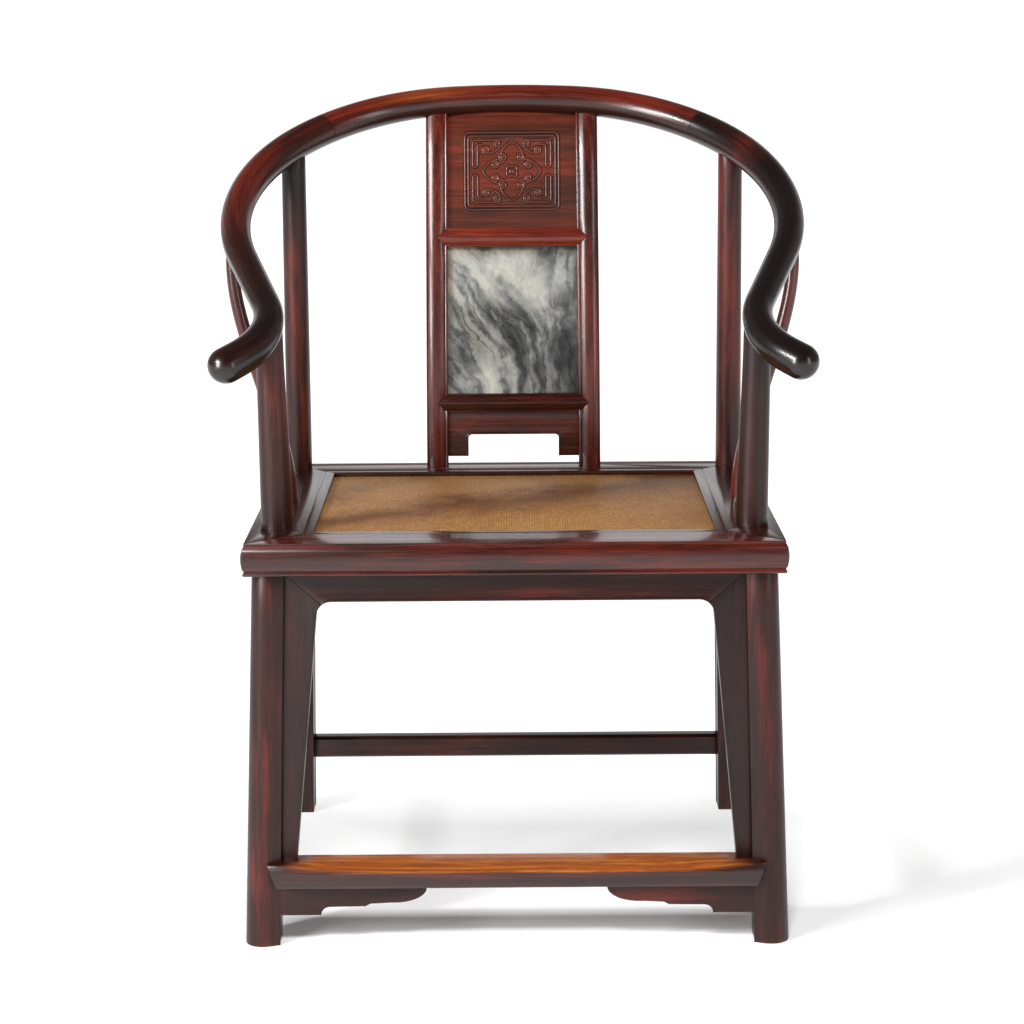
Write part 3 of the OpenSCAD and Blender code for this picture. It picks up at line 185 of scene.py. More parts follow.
def polished_hardwood(name, colours, redness=0.5, golden=False, wear_and_sheen=0.0, dull=0.0):
    """Old dense hardwood, planed by hand and waxed: long dark streaks, fine pores, a clear soft gloss.

    redness moves the ramp to the lit grain. golden lets bare wood through where the finish has gone, by the
    piece's own gold, and wear_and_sheen is the strength of a pale wash that stands for chafing and for a
    painted highlight and sheen. dull is added to the roughness where the wax has thinned."""
    material, tree, shader = new_material(name)
    grain = add(tree, "ShaderNodeAttribute", attribute_name="grain").outputs["Vector"]
    tone = add(tree, "ShaderNodeAttribute", attribute_name="tone").outputs["Fac"]
    # A slow warp, 56 mm across and 250 mm along, lets the fibres wander by a few millimetres
    warp = add(
        tree, "ShaderNodeTexNoise",
        {"Vector": stretched(tree, grain, 18, 4), "Scale": 1.0, "Detail": 2.0},
    ).outputs["Color"]
    shift = add(tree, "ShaderNodeVectorMath", {0: warp, "Scale": 0.016}, operation="SCALE").outputs["Vector"]
    pulled = add(tree, "ShaderNodeVectorMath", {0: grain, 1: shift}, operation="ADD").outputs["Vector"]
    figure = {}
    for label, vector, across, along, detail, roughness in (
        # Growth bands are about 5 mm wide and 200 mm long
        ("bands", pulled, 200, 5, 5.0, 0.6),
        # Pores are hair lines 1 mm wide and 30 mm long
        ("pores", pulled, 950, 34, 2.0, 0.5),
        # Heartwood turns darker and lighter over some 40 mm across and 200 mm along
        ("patches", grain, 24, 5, 3.0, 0.5),
        # The plane has left shallow waves 17 mm wide and 110 mm long
        ("ripple", grain, 60, 9, 2.0, 0.5),
    ):
        figure[label] = add(
            tree, "ShaderNodeTexNoise",
            {"Vector": stretched(tree, vector, across, along), "Scale": 1.0, "Detail": detail,
             "Roughness": roughness},
        ).outputs["Fac"]
    bands, pores, patches = figure["bands"], figure["pores"], figure["patches"]
    # Bands and patches move the depth evenly to both sides of the redness, and dull wood is more mottled
    streaked = 0.60
    mottled = 0.95 if dull else 0.60
    depth = add(
        tree, "ShaderNodeMath", {0: bands, 1: streaked, 2: redness - streaked / 2 - mottled / 2},
        operation="MULTIPLY_ADD",
    ).outputs[0]
    depth = add(
        tree, "ShaderNodeMath", {0: patches, 1: mottled, 2: depth}, operation="MULTIPLY_ADD"
    ).outputs[0]
    depth = add(tree, "ShaderNodeMath", {0: depth, 1: tone}, operation="ADD").outputs[0]
    body = ramp(
        tree, depth,
        [(0.02, colours.black_wood), (0.36, colours.deep_wood), (0.64, colours.red_wood),
         (0.95, mixed(colours.red_wood, colours.gold_wood, 0.35))],
    ).outputs["Color"]
    if golden:
        gold = add(tree, "ShaderNodeAttribute", attribute_name="gold").outputs["Fac"]
        bare = ramp(
            tree, bands,
            [(0.28, mixed(colours.gold_wood, colours.deep_wood, 0.6)),
             (0.42, mixed(colours.gold_wood, colours.red_wood, 0.5)),
             (0.60, colours.gold_wood), (0.80, mixed(colours.gold_wood, linear("#d6a566"), 0.25))],
        ).outputs["Color"]
        # The finish goes in patches first
        share = add(
            tree, "ShaderNodeMath", {0: patches, 1: 2.8, 2: -0.4}, operation="MULTIPLY_ADD"
        ).outputs[0]
        share = add(tree, "ShaderNodeMath", {0: gold, 1: share}, operation="MULTIPLY").outputs[0]
        share = add(
            tree, "ShaderNodeMapRange", {"Value": share, "From Min": 0.15, "From Max": 0.75}
        ).outputs[0]
        body = add(tree, "ShaderNodeMix", {0: share, 6: body, 7: bare}, data_type="RGBA").outputs[2]
    shade = ramp(tree, pores, [(0.32, grey(0.45)), (0.52, grey(1.0))]).outputs["Color"]
    body = add(
        tree, "ShaderNodeMix", {0: 0.8, 6: body, 7: shade}, data_type="RGBA", blend_type="MULTIPLY"
    ).outputs[2]
    # A pale wash over the wood: partly chafing, partly a painted highlight and a painted sheen
    if wear_and_sheen:
        faint = min(0.15, wear_and_sheen)
        wear_and_sheen_mask = ramp(tree, patches, [(0.42, grey(faint)), (0.62, grey(wear_and_sheen))]).outputs["Color"]
        body = add(
            tree, "ShaderNodeMix", {0: wear_and_sheen_mask, 6: body, 7: rgba(colours.pale_wear_and_sheen)}, data_type="RGBA"
        ).outputs[2]
    tree.links.new(body, shader.inputs["Base Color"])
    gloss = add(
        tree, "ShaderNodeMath", {0: bands, 1: 0.16, 2: 0.18 + dull}, operation="MULTIPLY_ADD"
    ).outputs[0]
    tree.links.new(gloss, shader.inputs["Roughness"])
    shader.inputs["IOR"].default_value = 1.5
    shader.inputs["Specular IOR Level"].default_value = 0.36 if dull else 0.5
    # Thin clear wax over the wood
    shader.inputs["Coat Weight"].default_value = 0.0 if dull else 0.12
    shader.inputs["Coat Roughness"].default_value = 0.05
    waves = add(tree, "ShaderNodeBump", {"Strength": 0.12, "Distance": 0.0010, "Height": figure["ripple"]})
    fine = add(
        tree, "ShaderNodeBump",
        {"Strength": 0.25, "Distance": 0.0002, "Height": pores, "Normal": waves.outputs["Normal"]},
    )
    tree.links.new(fine.outputs["Normal"], shader.inputs["Normal"])
    return material


def veined_marble(name, colours):
    """Polished white marble: charcoal veins that fall to the right, and stand upright on the right side."""
    material, tree, shader = new_material(name)
    low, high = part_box("splat_marble")
    place = add(tree, "ShaderNodeTexCoord").outputs["Object"]
    flat = add(tree, "ShaderNodeMapping", {"Vector": place, "Scale": (1.0, 0.1, 1.0)}).outputs["Vector"]
    # Folds of about 80 mm bend the veins a little
    fold = add(
        tree, "ShaderNodeTexNoise", {"Vector": flat, "Scale": 12.0, "Detail": 6.0, "Roughness": 0.6}
    ).outputs["Color"]
    shift = add(tree, "ShaderNodeVectorMath", {0: fold, "Scale": 0.05}, operation="SCALE").outputs["Vector"]
    bent = add(tree, "ShaderNodeVectorMath", {0: flat, 1: shift}, operation="ADD").outputs["Vector"]
    parts = add(tree, "ShaderNodeSeparateXYZ", {"Vector": bent})
    across, height = parts.outputs["X"], parts.outputs["Z"]
    # A vein's sideways run for each metre of fall
    lean = add(
        tree, "ShaderNodeMapRange",
        {"Value": across, "From Min": -0.02, "From Max": 0.08, "To Min": 0.75, "To Max": 0.0},
    ).outputs[0]
    middle = (low.z + high.z) / 2
    fallen = add(tree, "ShaderNodeMath", {0: height, 1: middle}, operation="SUBTRACT").outputs[0]
    course = add(tree, "ShaderNodeMath", {0: lean, 1: fallen, 2: across}, operation="MULTIPLY_ADD").outputs[0]
    drawn = add(tree, "ShaderNodeCombineXYZ", {"X": course, "Z": height}).outputs["Vector"]
    # Veins are about 30 mm wide and 140 mm long
    drawn = add(tree, "ShaderNodeMapping", {"Vector": drawn, "Scale": (36.0, 1.0, 7.0)}).outputs["Vector"]
    streaks = add(
        tree, "ShaderNodeTexNoise", {"Vector": drawn, "Scale": 1.0, "Detail": 4.0, "Roughness": 0.52}
    ).outputs["Fac"]
    # Grains 8 mm wide and finer fray the veins' edges
    ragged = add(tree, "ShaderNodeMapping", {"Vector": bent, "Scale": (130.0, 130.0, 70.0)}).outputs["Vector"]
    frayed = add(
        tree, "ShaderNodeTexNoise", {"Vector": ragged, "Scale": 1.0, "Detail": 5.0, "Roughness": 0.72}
    ).outputs["Fac"]
    frayed = add(tree, "ShaderNodeMath", {0: frayed, 1: 0.30, 2: -0.15}, operation="MULTIPLY_ADD").outputs[0]
    streaks = add(tree, "ShaderNodeMath", {0: streaks, 1: frayed}, operation="ADD").outputs[0]
    # The right side is darker
    streaks = add(
        tree, "ShaderNodeMath", {0: across, 1: -0.26, 2: streaks}, operation="MULTIPLY_ADD"
    ).outputs[0]
    # Charcoal lines 1 to 2 mm wide come and go along the veins
    beside = add(
        tree, "ShaderNodeMapping", {"Vector": drawn, "Location": (7.3, 0.0, 2.1), "Scale": (1.2, 1.0, 1.2)}
    ).outputs["Vector"]
    lines = add(
        tree, "ShaderNodeTexNoise", {"Vector": beside, "Scale": 1.0, "Detail": 3.0, "Roughness": 0.5}
    ).outputs["Fac"]
    lines = add(tree, "ShaderNodeMath", {0: frayed, 1: 0.45, 2: lines}, operation="MULTIPLY_ADD").outputs[0]
    lines = add(tree, "ShaderNodeMath", {0: lines, 1: 0.5}, operation="SUBTRACT").outputs[0]
    lines = add(tree, "ShaderNodeMath", {0: lines}, operation="ABSOLUTE").outputs[0]
    # Clouds of 70 mm dim the ground, and the charcoal lines fade between them
    cloud = add(tree, "ShaderNodeTexNoise", {"Vector": bent, "Scale": 15.0, "Detail": 4.0}).outputs["Fac"]
    veins = ramp(
        tree, streaks,
        [(0.32, colours.marble_dark), (0.42, linear("#5c5d5b")), (0.50, linear("#868784")),
         (0.60, colours.marble_pale), (0.78, linear("#b3b0a4"))],
    ).outputs["Color"]
    clouds = ramp(tree, cloud, [(0.36, linear("#8a8b8b")), (0.58, grey(1.0))]).outputs["Color"]
    ink = ramp(tree, lines, [(0.0, grey(0.10)), (0.022, grey(0.40)), (0.055, grey(1.0))]).outputs["Color"]
    faded = add(
        tree, "ShaderNodeMapRange",
        {"Value": cloud, "From Min": 0.40, "From Max": 0.60, "To Min": 0.9, "To Max": 0.1},
    ).outputs[0]
    # Painted shade, tinted ochre, along the stone's sides and top under the frame, which fades out 11 mm from
    # the frame
    own = add(tree, "ShaderNodeSeparateXYZ", {"Vector": place})
    aside = add(tree, "ShaderNodeMath", {0: own.outputs["X"]}, operation="ABSOLUTE").outputs[0]
    sides = add(
        tree, "ShaderNodeMapRange",
        {"Value": aside, "From Min": high.x - 0.015, "From Max": high.x - 0.006},
    ).outputs[0]
    head = add(
        tree, "ShaderNodeMapRange",
        {"Value": own.outputs["Z"], "From Min": high.z - 0.016, "From Max": high.z - 0.005},
    ).outputs[0]
    shaded_rim = add(tree, "ShaderNodeMath", {0: sides, 1: head}, operation="MAXIMUM").outputs[0]
    shaded_rim = add(tree, "ShaderNodeMath", {0: shaded_rim, 1: cloud}, operation="MULTIPLY").outputs[0]
    ochre = rgba(linear("#b08a4c"))
    stone = veins
    for share, layer in ((0.7, clouds), (faded, ink), (shaded_rim, ochre)):
        stone = add(
            tree, "ShaderNodeMix", {0: share, 6: stone, 7: layer}, data_type="RGBA", blend_type="MULTIPLY"
        ).outputs[2]
    tree.links.new(stone, shader.inputs["Base Color"])
    shader.inputs["Roughness"].default_value = 0.3
    shader.inputs["IOR"].default_value = 1.5
    shader.inputs["Subsurface Weight"].default_value = 0.05
    shader.inputs["Subsurface Radius"].default_value = (0.004, 0.004, 0.003)
    shader.inputs["Subsurface Scale"].default_value = 1.0
    return material


def woven_cane(name, colours):
    """Fine split cane, woven over and under at a pitch of 3 mm."""
    material, tree, shader = new_material(name)
    place = add(tree, "ShaderNodeTexCoord").outputs["Object"]
    pitch = 0.003
    # A wave texture of scale 1 repeats every pi / 10 metres
    wave = math.pi / 10
    strands = []
    for direction in ("X", "Y"):
        strands.append(
            add(
                tree, "ShaderNodeTexWave",
                {"Vector": place, "Scale": wave / pitch, "Distortion": 0.4, "Detail": 1.0},
                wave_type="BANDS", bands_direction=direction,
            ).outputs["Fac"]
        )
    cells = add(
        tree, "ShaderNodeTexChecker",
        {"Vector": place, "Scale": 1 / pitch, "Color1": rgba(grey(1.0)), "Color2": rgba(grey(0.0))},
    ).outputs["Fac"]
    height = add(
        tree, "ShaderNodeMix", {0: cells, 2: strands[0], 3: strands[1]}, data_type="FLOAT"
    ).outputs[0]
    # Stains are 140 mm wide and less
    stain = add(
        tree, "ShaderNodeTexNoise", {"Vector": place, "Scale": 7.0, "Detail": 6.0, "Roughness": 0.65}
    ).outputs["Fac"]
    # Each crossing of two strands has a shade of its own
    level = add(tree, "ShaderNodeMapping", {"Vector": place, "Scale": (1.0, 1.0, 0.0)}).outputs["Vector"]
    crossing = add(
        tree, "ShaderNodeVectorMath", {0: level, 1: (pitch, pitch, 1.0)}, operation="SNAP"
    ).outputs["Vector"]
    strand = add(tree, "ShaderNodeTexWhiteNoise", {"Vector": crossing}).outputs["Value"]
    tint = ramp(
        tree, strand,
        [(0.0, mixed(colours.cane, colours.cane_shade, 0.32)), (0.5, colours.cane),
         (1.0, mixed(colours.cane, linear("#d9b47c"), 0.22))],
    ).outputs["Color"]
    # A painted shadow, with wear, darkens a sweep across the seat from its left front to the middle of its
    # back
    sweep = add(
        tree, "ShaderNodeVectorMath", {0: place, 1: (-0.45, 0.89, 0.0)}, operation="DOT_PRODUCT"
    ).outputs["Value"]
    sweep = add(tree, "ShaderNodeMath", {0: stain, 1: 0.35, 2: sweep}, operation="MULTIPLY_ADD").outputs[0]
    shadow_and_wear = ramp(
        tree, sweep, [(0.10, grey(1.0)), (0.19, linear("#a98b6d")), (0.27, grey(1.0))]
    ).outputs["Color"]
    aged = ramp(tree, stain, [(0.32, linear("#8b6a46")), (0.55, grey(1.0))]).outputs["Color"]
    # Painted shade where the strands dip between one another
    hollow_shade = ramp(tree, height, [(0.05, grey(0.35)), (0.45, grey(1.0))]).outputs["Color"]
    for share, layer in ((0.9, shadow_and_wear), (0.55, aged), (0.8, hollow_shade)):
        tint = add(
            tree, "ShaderNodeMix", {0: share, 6: tint, 7: layer}, data_type="RGBA", blend_type="MULTIPLY"
        ).outputs[2]
    tree.links.new(tint, shader.inputs["Base Color"])
    shader.inputs["Roughness"].default_value = 0.55
    bump = add(tree, "ShaderNodeBump", {"Strength": 0.5, "Distance": 0.0006, "Height": height})
    tree.links.new(bump.outputs["Normal"], shader.inputs["Normal"])
    return material


def studio_white(name):
    """Matt white paper of the studio floor, which runs out into an evenly lit white ground."""
    material, tree, shader = new_material(name)
    place = add(tree, "ShaderNodeTexCoord").outputs["Object"]
    mottle = add(tree, "ShaderNodeTexNoise", {"Vector": place, "Scale": 3.0}).outputs["Fac"]
    paper = ramp(tree, mottle, [(0.3, linear("#f3f3f3")), (0.7, linear("#f5f5f5"))]).outputs["Color"]
    tree.links.new(paper, shader.inputs["Base Color"])
    shader.inputs["Roughness"].default_value = 0.9
    shader.inputs["Specular IOR Level"].default_value = 0.1
    far = add(tree, "ShaderNodeVectorMath", {0: place}, operation="LENGTH").outputs["Value"]
    lit = add(tree, "ShaderNodeMapRange", {"Value": far, "From Min": 0.6, "From Max": 1.7}).outputs[0]
    # From the middle of the seat backwards the ground gives light of its own, so shadows stay pale there
    back = add(tree, "ShaderNodeSeparateXYZ", {"Vector": place}).outputs["Y"]
    rear = add(
        tree, "ShaderNodeMapRange", {"Value": back, "From Min": -0.08, "From Max": 0.42, "To Max": 0.96}
    ).outputs[0]
    lit = add(tree, "ShaderNodeMath", {0: lit, 1: rear}, operation="MAXIMUM").outputs[0]
    ground = add(tree, "ShaderNodeEmission", {"Color": rgba(grey(1.0)), "Strength": 1.3}).outputs[0]
    both = add(tree, "ShaderNodeMixShader", {0: lit, 1: shader.outputs[0], 2: ground}).outputs[0]
    tree.links.new(both, tree.nodes["Material Output"].inputs["Surface"])
    return material


# The states of the frame's hardwood, from waxed wood to the near-black of its joints
WOOD_STATES = {
    "polished_hardwood": {"redness": 0.5},
    # Palms and feet have rubbed these two down to bare gold in places
    "handled_hardwood": {"redness": 0.5, "golden": True},
    "footworn_hardwood": {"redness": 0.38, "golden": True, "dull": 0.12},
    # With the wax gone, the wood shows darker and more mottled
    "dull_hardwood": {"redness": 0.38, "dull": 0.12},
    # Arrises and ridges are pale where cloth brushes them, and paler still with a painted highlight
    "rubbed_highlit_arris": {"redness": 0.55, "wear_and_sheen": 0.8},
    "rubbed_highlit_relief": {"redness": 0.46, "wear_and_sheen": 0.08},
    # A pale painted sheen lies evenly over the wood
    "painted_sheen_hardwood": {"redness": 0.48, "wear_and_sheen": 0.045},
    # Dirt and old wax in corners and joints, which also serves as painted shade along the stiles' arrises and
    # at the foot of the carving
    "blackened_hardwood": {"redness": 0.2},
}
FINISHES = {}


def finish(name):
    """The finish of that name, made once."""
    if name not in FINISHES:
        colours = bpy.context.scene.armchair_colours
        if name in WOOD_STATES:
            FINISHES[name] = polished_hardwood(name, colours, **WOOD_STATES[name])
        else:
            maker = {"veined_marble": veined_marble, "woven_cane": woven_cane}[name]
            FINISHES[name] = maker(name, colours)
    return FINISHES[name]


# Mesh helpers


def link(name, mesh):
    obj = bpy.data.objects.new(name, mesh)
    bpy.context.scene.collection.objects.link(obj)
    return obj


def baked(obj):
    """Turns obj's modifiers into its mesh and removes them."""
    depsgraph = bpy.context.evaluated_depsgraph_get()
    depsgraph.update()
    mesh = bpy.data.meshes.new_from_object(obj.evaluated_get(depsgraph), depsgraph=depsgraph)
    old = obj.data
    obj.modifiers.clear()
    obj.data = mesh
    if old.users == 0:
        bpy.data.meshes.remove(old)


def coordinates(mesh):
    co = np.empty(len(mesh.vertices) * 3)
    mesh.vertices.foreach_get("co", co)
    return co.reshape(-1, 3)


def store(mesh, name, kind, values):
    """Writes a point attribute."""
    found = mesh.attributes.get(name) or mesh.attributes.new(name, kind, "POINT")
    field = "vector" if kind == "FLOAT_VECTOR" else "value"
    found.data.foreach_set(field, np.asarray(values, np.float32).ravel())


def plank_place(seed):
    """Where in the plank a piece is cut, so that no two pieces show the same grain."""
    return np.array([seed * 0.73, seed * 0.41, seed * 1.37])


def straight_grain(obj, direction, seed, tone=0.0, gold=0.0):
    """Grain that runs straight along a direction, with the piece's tone and gold as numbers or rules."""
    z = Vector(direction).normalized()
    x = z.orthogonal().normalized()
    y = z.cross(x)
    axes = np.array([x, y, z])
    co = coordinates(obj.data)
    store(obj.data, "grain", "FLOAT_VECTOR", co @ axes.T + plank_place(seed))
    for name, value in (("tone", tone), ("gold", gold)):
        store(obj.data, name, "FLOAT", value(co) if callable(value) else np.full(len(co), value))


def smooth_by_angle(mesh, degrees=40):
    mesh.shade_smooth()
    mesh.set_sharp_from_angle(angle=math.radians(degrees))


def eased_copy(node, suffix="wood", ease=0.6, angle=28, segments=2, edge_slot=False, levels=()):
    """A closed copy of a solid with its arrises eased by hand wear.

    ease is the bevel in millimetres, on edges that turn by more than angle. With edge_slot the bevel takes
    the second finish. levels are heights where faces are cut, so that an attribute can change there."""
    touching, flat = 2e-6, math.radians(0.4)
    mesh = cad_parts[node].data.copy()
    mesh.materials.clear()
    work = bmesh.new()
    work.from_mesh(mesh)
    bmesh.ops.remove_doubles(work, verts=work.verts, dist=touching)
    bmesh.ops.dissolve_limit(work, angle_limit=flat, verts=work.verts, edges=work.edges, delimit={"NORMAL"})
    for level in levels:
        geometry = work.verts[:] + work.edges[:] + work.faces[:]
        bmesh.ops.bisect_plane(work, geom=geometry, plane_co=(0, 0, level), plane_no=UP)
    work.to_mesh(mesh)
    work.free()
    obj = link(f"{node}_{suffix}", mesh)
    if ease:
        bevel = obj.modifiers.new("eased", "BEVEL")
        bevel.width = ease * MM
        bevel.segments = segments
        bevel.limit_method = "ANGLE"
        bevel.angle_limit = math.radians(angle)
        bevel.use_clamp_overlap = True
        bevel.loop_slide = False
        if edge_slot:
            bevel.material = 1
        baked(obj)
    smooth_by_angle(obj.data, 40 if ease else 30)
    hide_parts(node)
    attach(obj, "root")
    return obj


def painted(obj, *finishes):
    obj.data.materials.clear()
    for name in finishes:
        obj.data.materials.append(finish(name))
    return obj


def dressed(node, way, seed, slot, finishes, tone=0.0, gold=0.0, **easing):
    """A node's eased copy with its grain along a way. A second finish goes on the eased arrises."""
    obj = painted(eased_copy(node, edge_slot=len(finishes) > 1, **easing), *finishes)
    straight_grain(obj, way, seed, tone=tone, gold=gold)
    return obj


# Horseshoe rail


def rail_runs(sizes):
    """Length and curvature of each run of the rail, from the crest's middle to the hand."""
    return [
        (sizes.crest_radius * sizes.crest_turn, 1 / sizes.crest_radius),
        (sizes.shoulder_radius * sizes.shoulder_turn, 1 / sizes.shoulder_radius),
        (sizes.flank_radius * sizes.flank_turn, 1 / sizes.flank_radius),
        (sizes.arm_straight, 0.0),
        (sizes.neck_radius * sizes.neck_turn, -1 / sizes.neck_radius),
        (sizes.hand_length, 0.0),
    ]


def rail_state(sizes, s):
    """Place in the rail's plane (x, depth) and heading, at a distance along it from the crest's middle."""
    x, depth, heading = 0.0, 0.0, 0.0
    left = abs(s)
    runs = rail_runs(sizes)
    for i, (length, curve) in enumerate(runs):
        step = left if i == len(runs) - 1 else min(left, length)
        turned = heading + step * curve
        if curve:
            x += (math.sin(turned) - math.sin(heading)) / curve
            depth += (math.cos(heading) - math.cos(turned)) / curve
        else:
            x += step * math.cos(heading)
            depth += step * math.sin(heading)
        heading = turned
        left -= step
        if left <= 0:
            break
    return (x, depth, heading) if s >= 0 else (-x, depth, -heading)


def rail_frame(sizes, s):
    """Point, direction and inward direction of the rail at a station."""
    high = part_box("arm_rail_back")[1]
    crest = Vector((0, high.y - sizes.crest_width / 2, high.z - sizes.crest_width / 2))
    x, depth, heading = rail_state(sizes, s)
    c, d = math.cos(sizes.tilt), math.sin(sizes.tilt)
    point = crest + Vector((x, -depth * c, -depth * d))
    along = Vector((math.cos(heading), -math.sin(heading) * c, -math.sin(heading) * d))
    inward = Vector((-math.sin(heading), -math.cos(heading) * c, -math.cos(heading) * d))
    return point, along, inward


def rail_length(sizes):
    return sum(length for length, _ in rail_runs(sizes))


def eased(t):
    """A share of the way, slow at both ends."""
    t = min(1.0, max(0.0, t))
    return (1 - math.cos(math.pi * t)) / 2


def rail_radius(sizes, s):
    """Half the rail's thickness at a station, down to nothing at the end of the hand's dome."""
    s = abs(s)
    runs = [length for length, _ in rail_runs(sizes)]
    shoulder, neck, total = sum(runs[:2]), sum(runs[:4]), sum(runs)
    dome = sizes.hand_width / 2
    for start, end, first, last in (
        (0.0, shoulder, sizes.crest_width, sizes.shoulder_width),
        (shoulder, neck, sizes.shoulder_width, sizes.neck_width),
        (neck, total - dome, sizes.neck_width, sizes.hand_width),
    ):
        if s < end:
            break
    body = first + (last - first) * eased((s - start) / (end - start))
    past = max(0.0, (s - total + dome) / dome)
    return body / 2 * math.sqrt(max(0.0, 1 - past * past))


def swept_rod_tree():
    """Geometry Nodes tree that sweeps a round rod along a line of points by their own radius."""
    tree = bpy.data.node_groups.new("swept_rod", "GeometryNodeTree")
    face = tree.interface
    face.new_socket("Geometry", in_out="INPUT", socket_type="NodeSocketGeometry")
    sides = face.new_socket("Sides", in_out="INPUT", socket_type="NodeSocketInt")
    wood = face.new_socket("Wood", in_out="INPUT", socket_type="NodeSocketMaterial")
    face.new_socket("Geometry", in_out="OUTPUT", socket_type="NodeSocketGeometry")
    given = add(tree, "NodeGroupInput")
    line = add(tree, "GeometryNodeMeshToCurve", {"Mesh": given.outputs["Geometry"]})
    radius = add(tree, "GeometryNodeInputNamedAttribute", {"Name": "radius"}, data_type="FLOAT")
    ring = add(
        tree, "GeometryNodeCurvePrimitiveCircle", {"Resolution": given.outputs["Sides"], "Radius": 1.0},
        mode="RADIUS",
    )
    rod = add(
        tree, "GeometryNodeCurveToMesh",
        {"Curve": line.outputs["Curve"], "Profile Curve": ring.outputs["Curve"],
         "Scale": radius.outputs["Attribute"], "Fill Caps": True},
    )
    real = add(tree, "GeometryNodeRealizeInstances", {"Geometry": rod.outputs["Mesh"]})
    coloured = add(
        tree, "GeometryNodeSetMaterial",
        {"Geometry": real.outputs["Geometry"], "Material": given.outputs["Wood"]},
    )
    out = add(tree, "NodeGroupOutput")
    tree.links.new(coloured.outputs["Geometry"], out.inputs["Geometry"])
    return tree, sides.identifier, wood.identifier


def swept_rod(name, points, radii, sides, wood):
    """A closed round rod through the points, as thick at each as its radius says."""
    mesh = bpy.data.meshes.new(name)
    mesh.from_pydata([tuple(p) for p in points], [(i, i + 1) for i in range(len(points) - 1)], [])
    store(mesh, "radius", "FLOAT", radii)
    obj = link(name, mesh)
    tree, sides_key, wood_key = swept_rod_tree()
    modifier = obj.modifiers.new("rod", "NODES")
    modifier.node_group = tree
    modifier[sides_key] = sides
    modifier[wood_key] = finish(wood)
    baked(obj)
    work = bmesh.new()
    work.from_mesh(obj.data)
    bmesh.ops.remove_doubles(work, verts=work.verts, dist=1e-6)
    bmesh.ops.recalc_face_normals(work, faces=work.faces)
    work.to_mesh(obj.data)
    work.free()
    if "radius" in obj.data.attributes:
        obj.data.attributes.remove(obj.data.attributes["radius"])
    return obj


def winding_grain(obj, points, seed, tone=None, gold=None):
    """Grain that follows a bent piece's line, and its tone and gold by rules.

    Each vertex takes its place from the nearest point of the line. A rule gets the distance along the line,
    the coordinates and the height over the line."""
    path = np.array([tuple(p) for p in points])
    steps = np.linalg.norm(np.diff(path, axis=0), axis=1)
    along = np.concatenate([[0.0], np.cumsum(steps)])
    tangent = np.gradient(path, axis=0)
    tangent /= np.linalg.norm(tangent, axis=1)[:, None]
    up = np.array([0.0, 0.0, 1.0])
    side = np.cross(tangent, up)
    side /= np.maximum(np.linalg.norm(side, axis=1)[:, None], 1e-6)
    other = np.cross(side, tangent)
    co = coordinates(obj.data)
    near = np.empty(len(co), int)
    # The distances are worked out in blocks of this many vertices, to spare memory
    block = 4000
    for i in range(0, len(co), block):
        near[i : i + block] = ((co[i : i + block, None, :] - path[None]) ** 2).sum(2).argmin(1)
    off = co - path[near]
    place = np.stack(
        [(off * side[near]).sum(1), (off * other[near]).sum(1), along[near] + (off * tangent[near]).sum(1)], 1
    )
    store(obj.data, "grain", "FLOAT_VECTOR", place + plank_place(seed))
    for name, rule in (("tone", tone), ("gold", gold)):
        store(obj.data, name, "FLOAT", rule(along[near], co, place[:, 1]) if rule else np.zeros(len(co)))


def box_object(name, place, corners):
    """A box between two corners, in a frame given by a matrix."""
    a, b = Vector(corners[0]), Vector(corners[1])
    mesh = bpy.data.meshes.new(name)
    work = bmesh.new()
    bmesh.ops.create_cube(work, size=1.0)
    for v in work.verts:
        v.co = place @ Vector([a[i] + (b[i] - a[i]) * (v.co[i] + 0.5) for i in range(3)])
    work.normal_update()
    bmesh.ops.recalc_face_normals(work, faces=work.faces)
    work.to_mesh(mesh)
    work.free()
    return link(name, mesh)


def cut_away(obj, cutters):
    """Takes the cutters' shapes out of obj and deletes them."""
    for cutter in cutters:
        modifier = obj.modifiers.new("cut", "BOOLEAN")
        modifier.operation = "DIFFERENCE"
        modifier.solver = "EXACT"
        modifier.object = cutter
    baked(obj)
    for cutter in cutters:
        bpy.data.objects.remove(cutter)


def lap_matrix(sizes, side):
    """A lap joint's own frame: along the rail, inwards, and square to both, from the middle of its seam."""
    point, along, inward = rail_frame(sizes, sizes.lap_place)
    normal = along.cross(inward)
    place = Matrix.Translation(point) @ Matrix((along, inward, normal)).transposed().to_4x4()
    return Matrix.Scale(-1, 4, Vector((1, 0, 0))) @ place if side < 0 else place


def stations(start, end, step):
    """Evenly spaced stations from start to end, about step apart."""
    count = max(2, round(abs(end - start) / step))
    return [start + (end - start) * i / count for i in range(count + 1)]


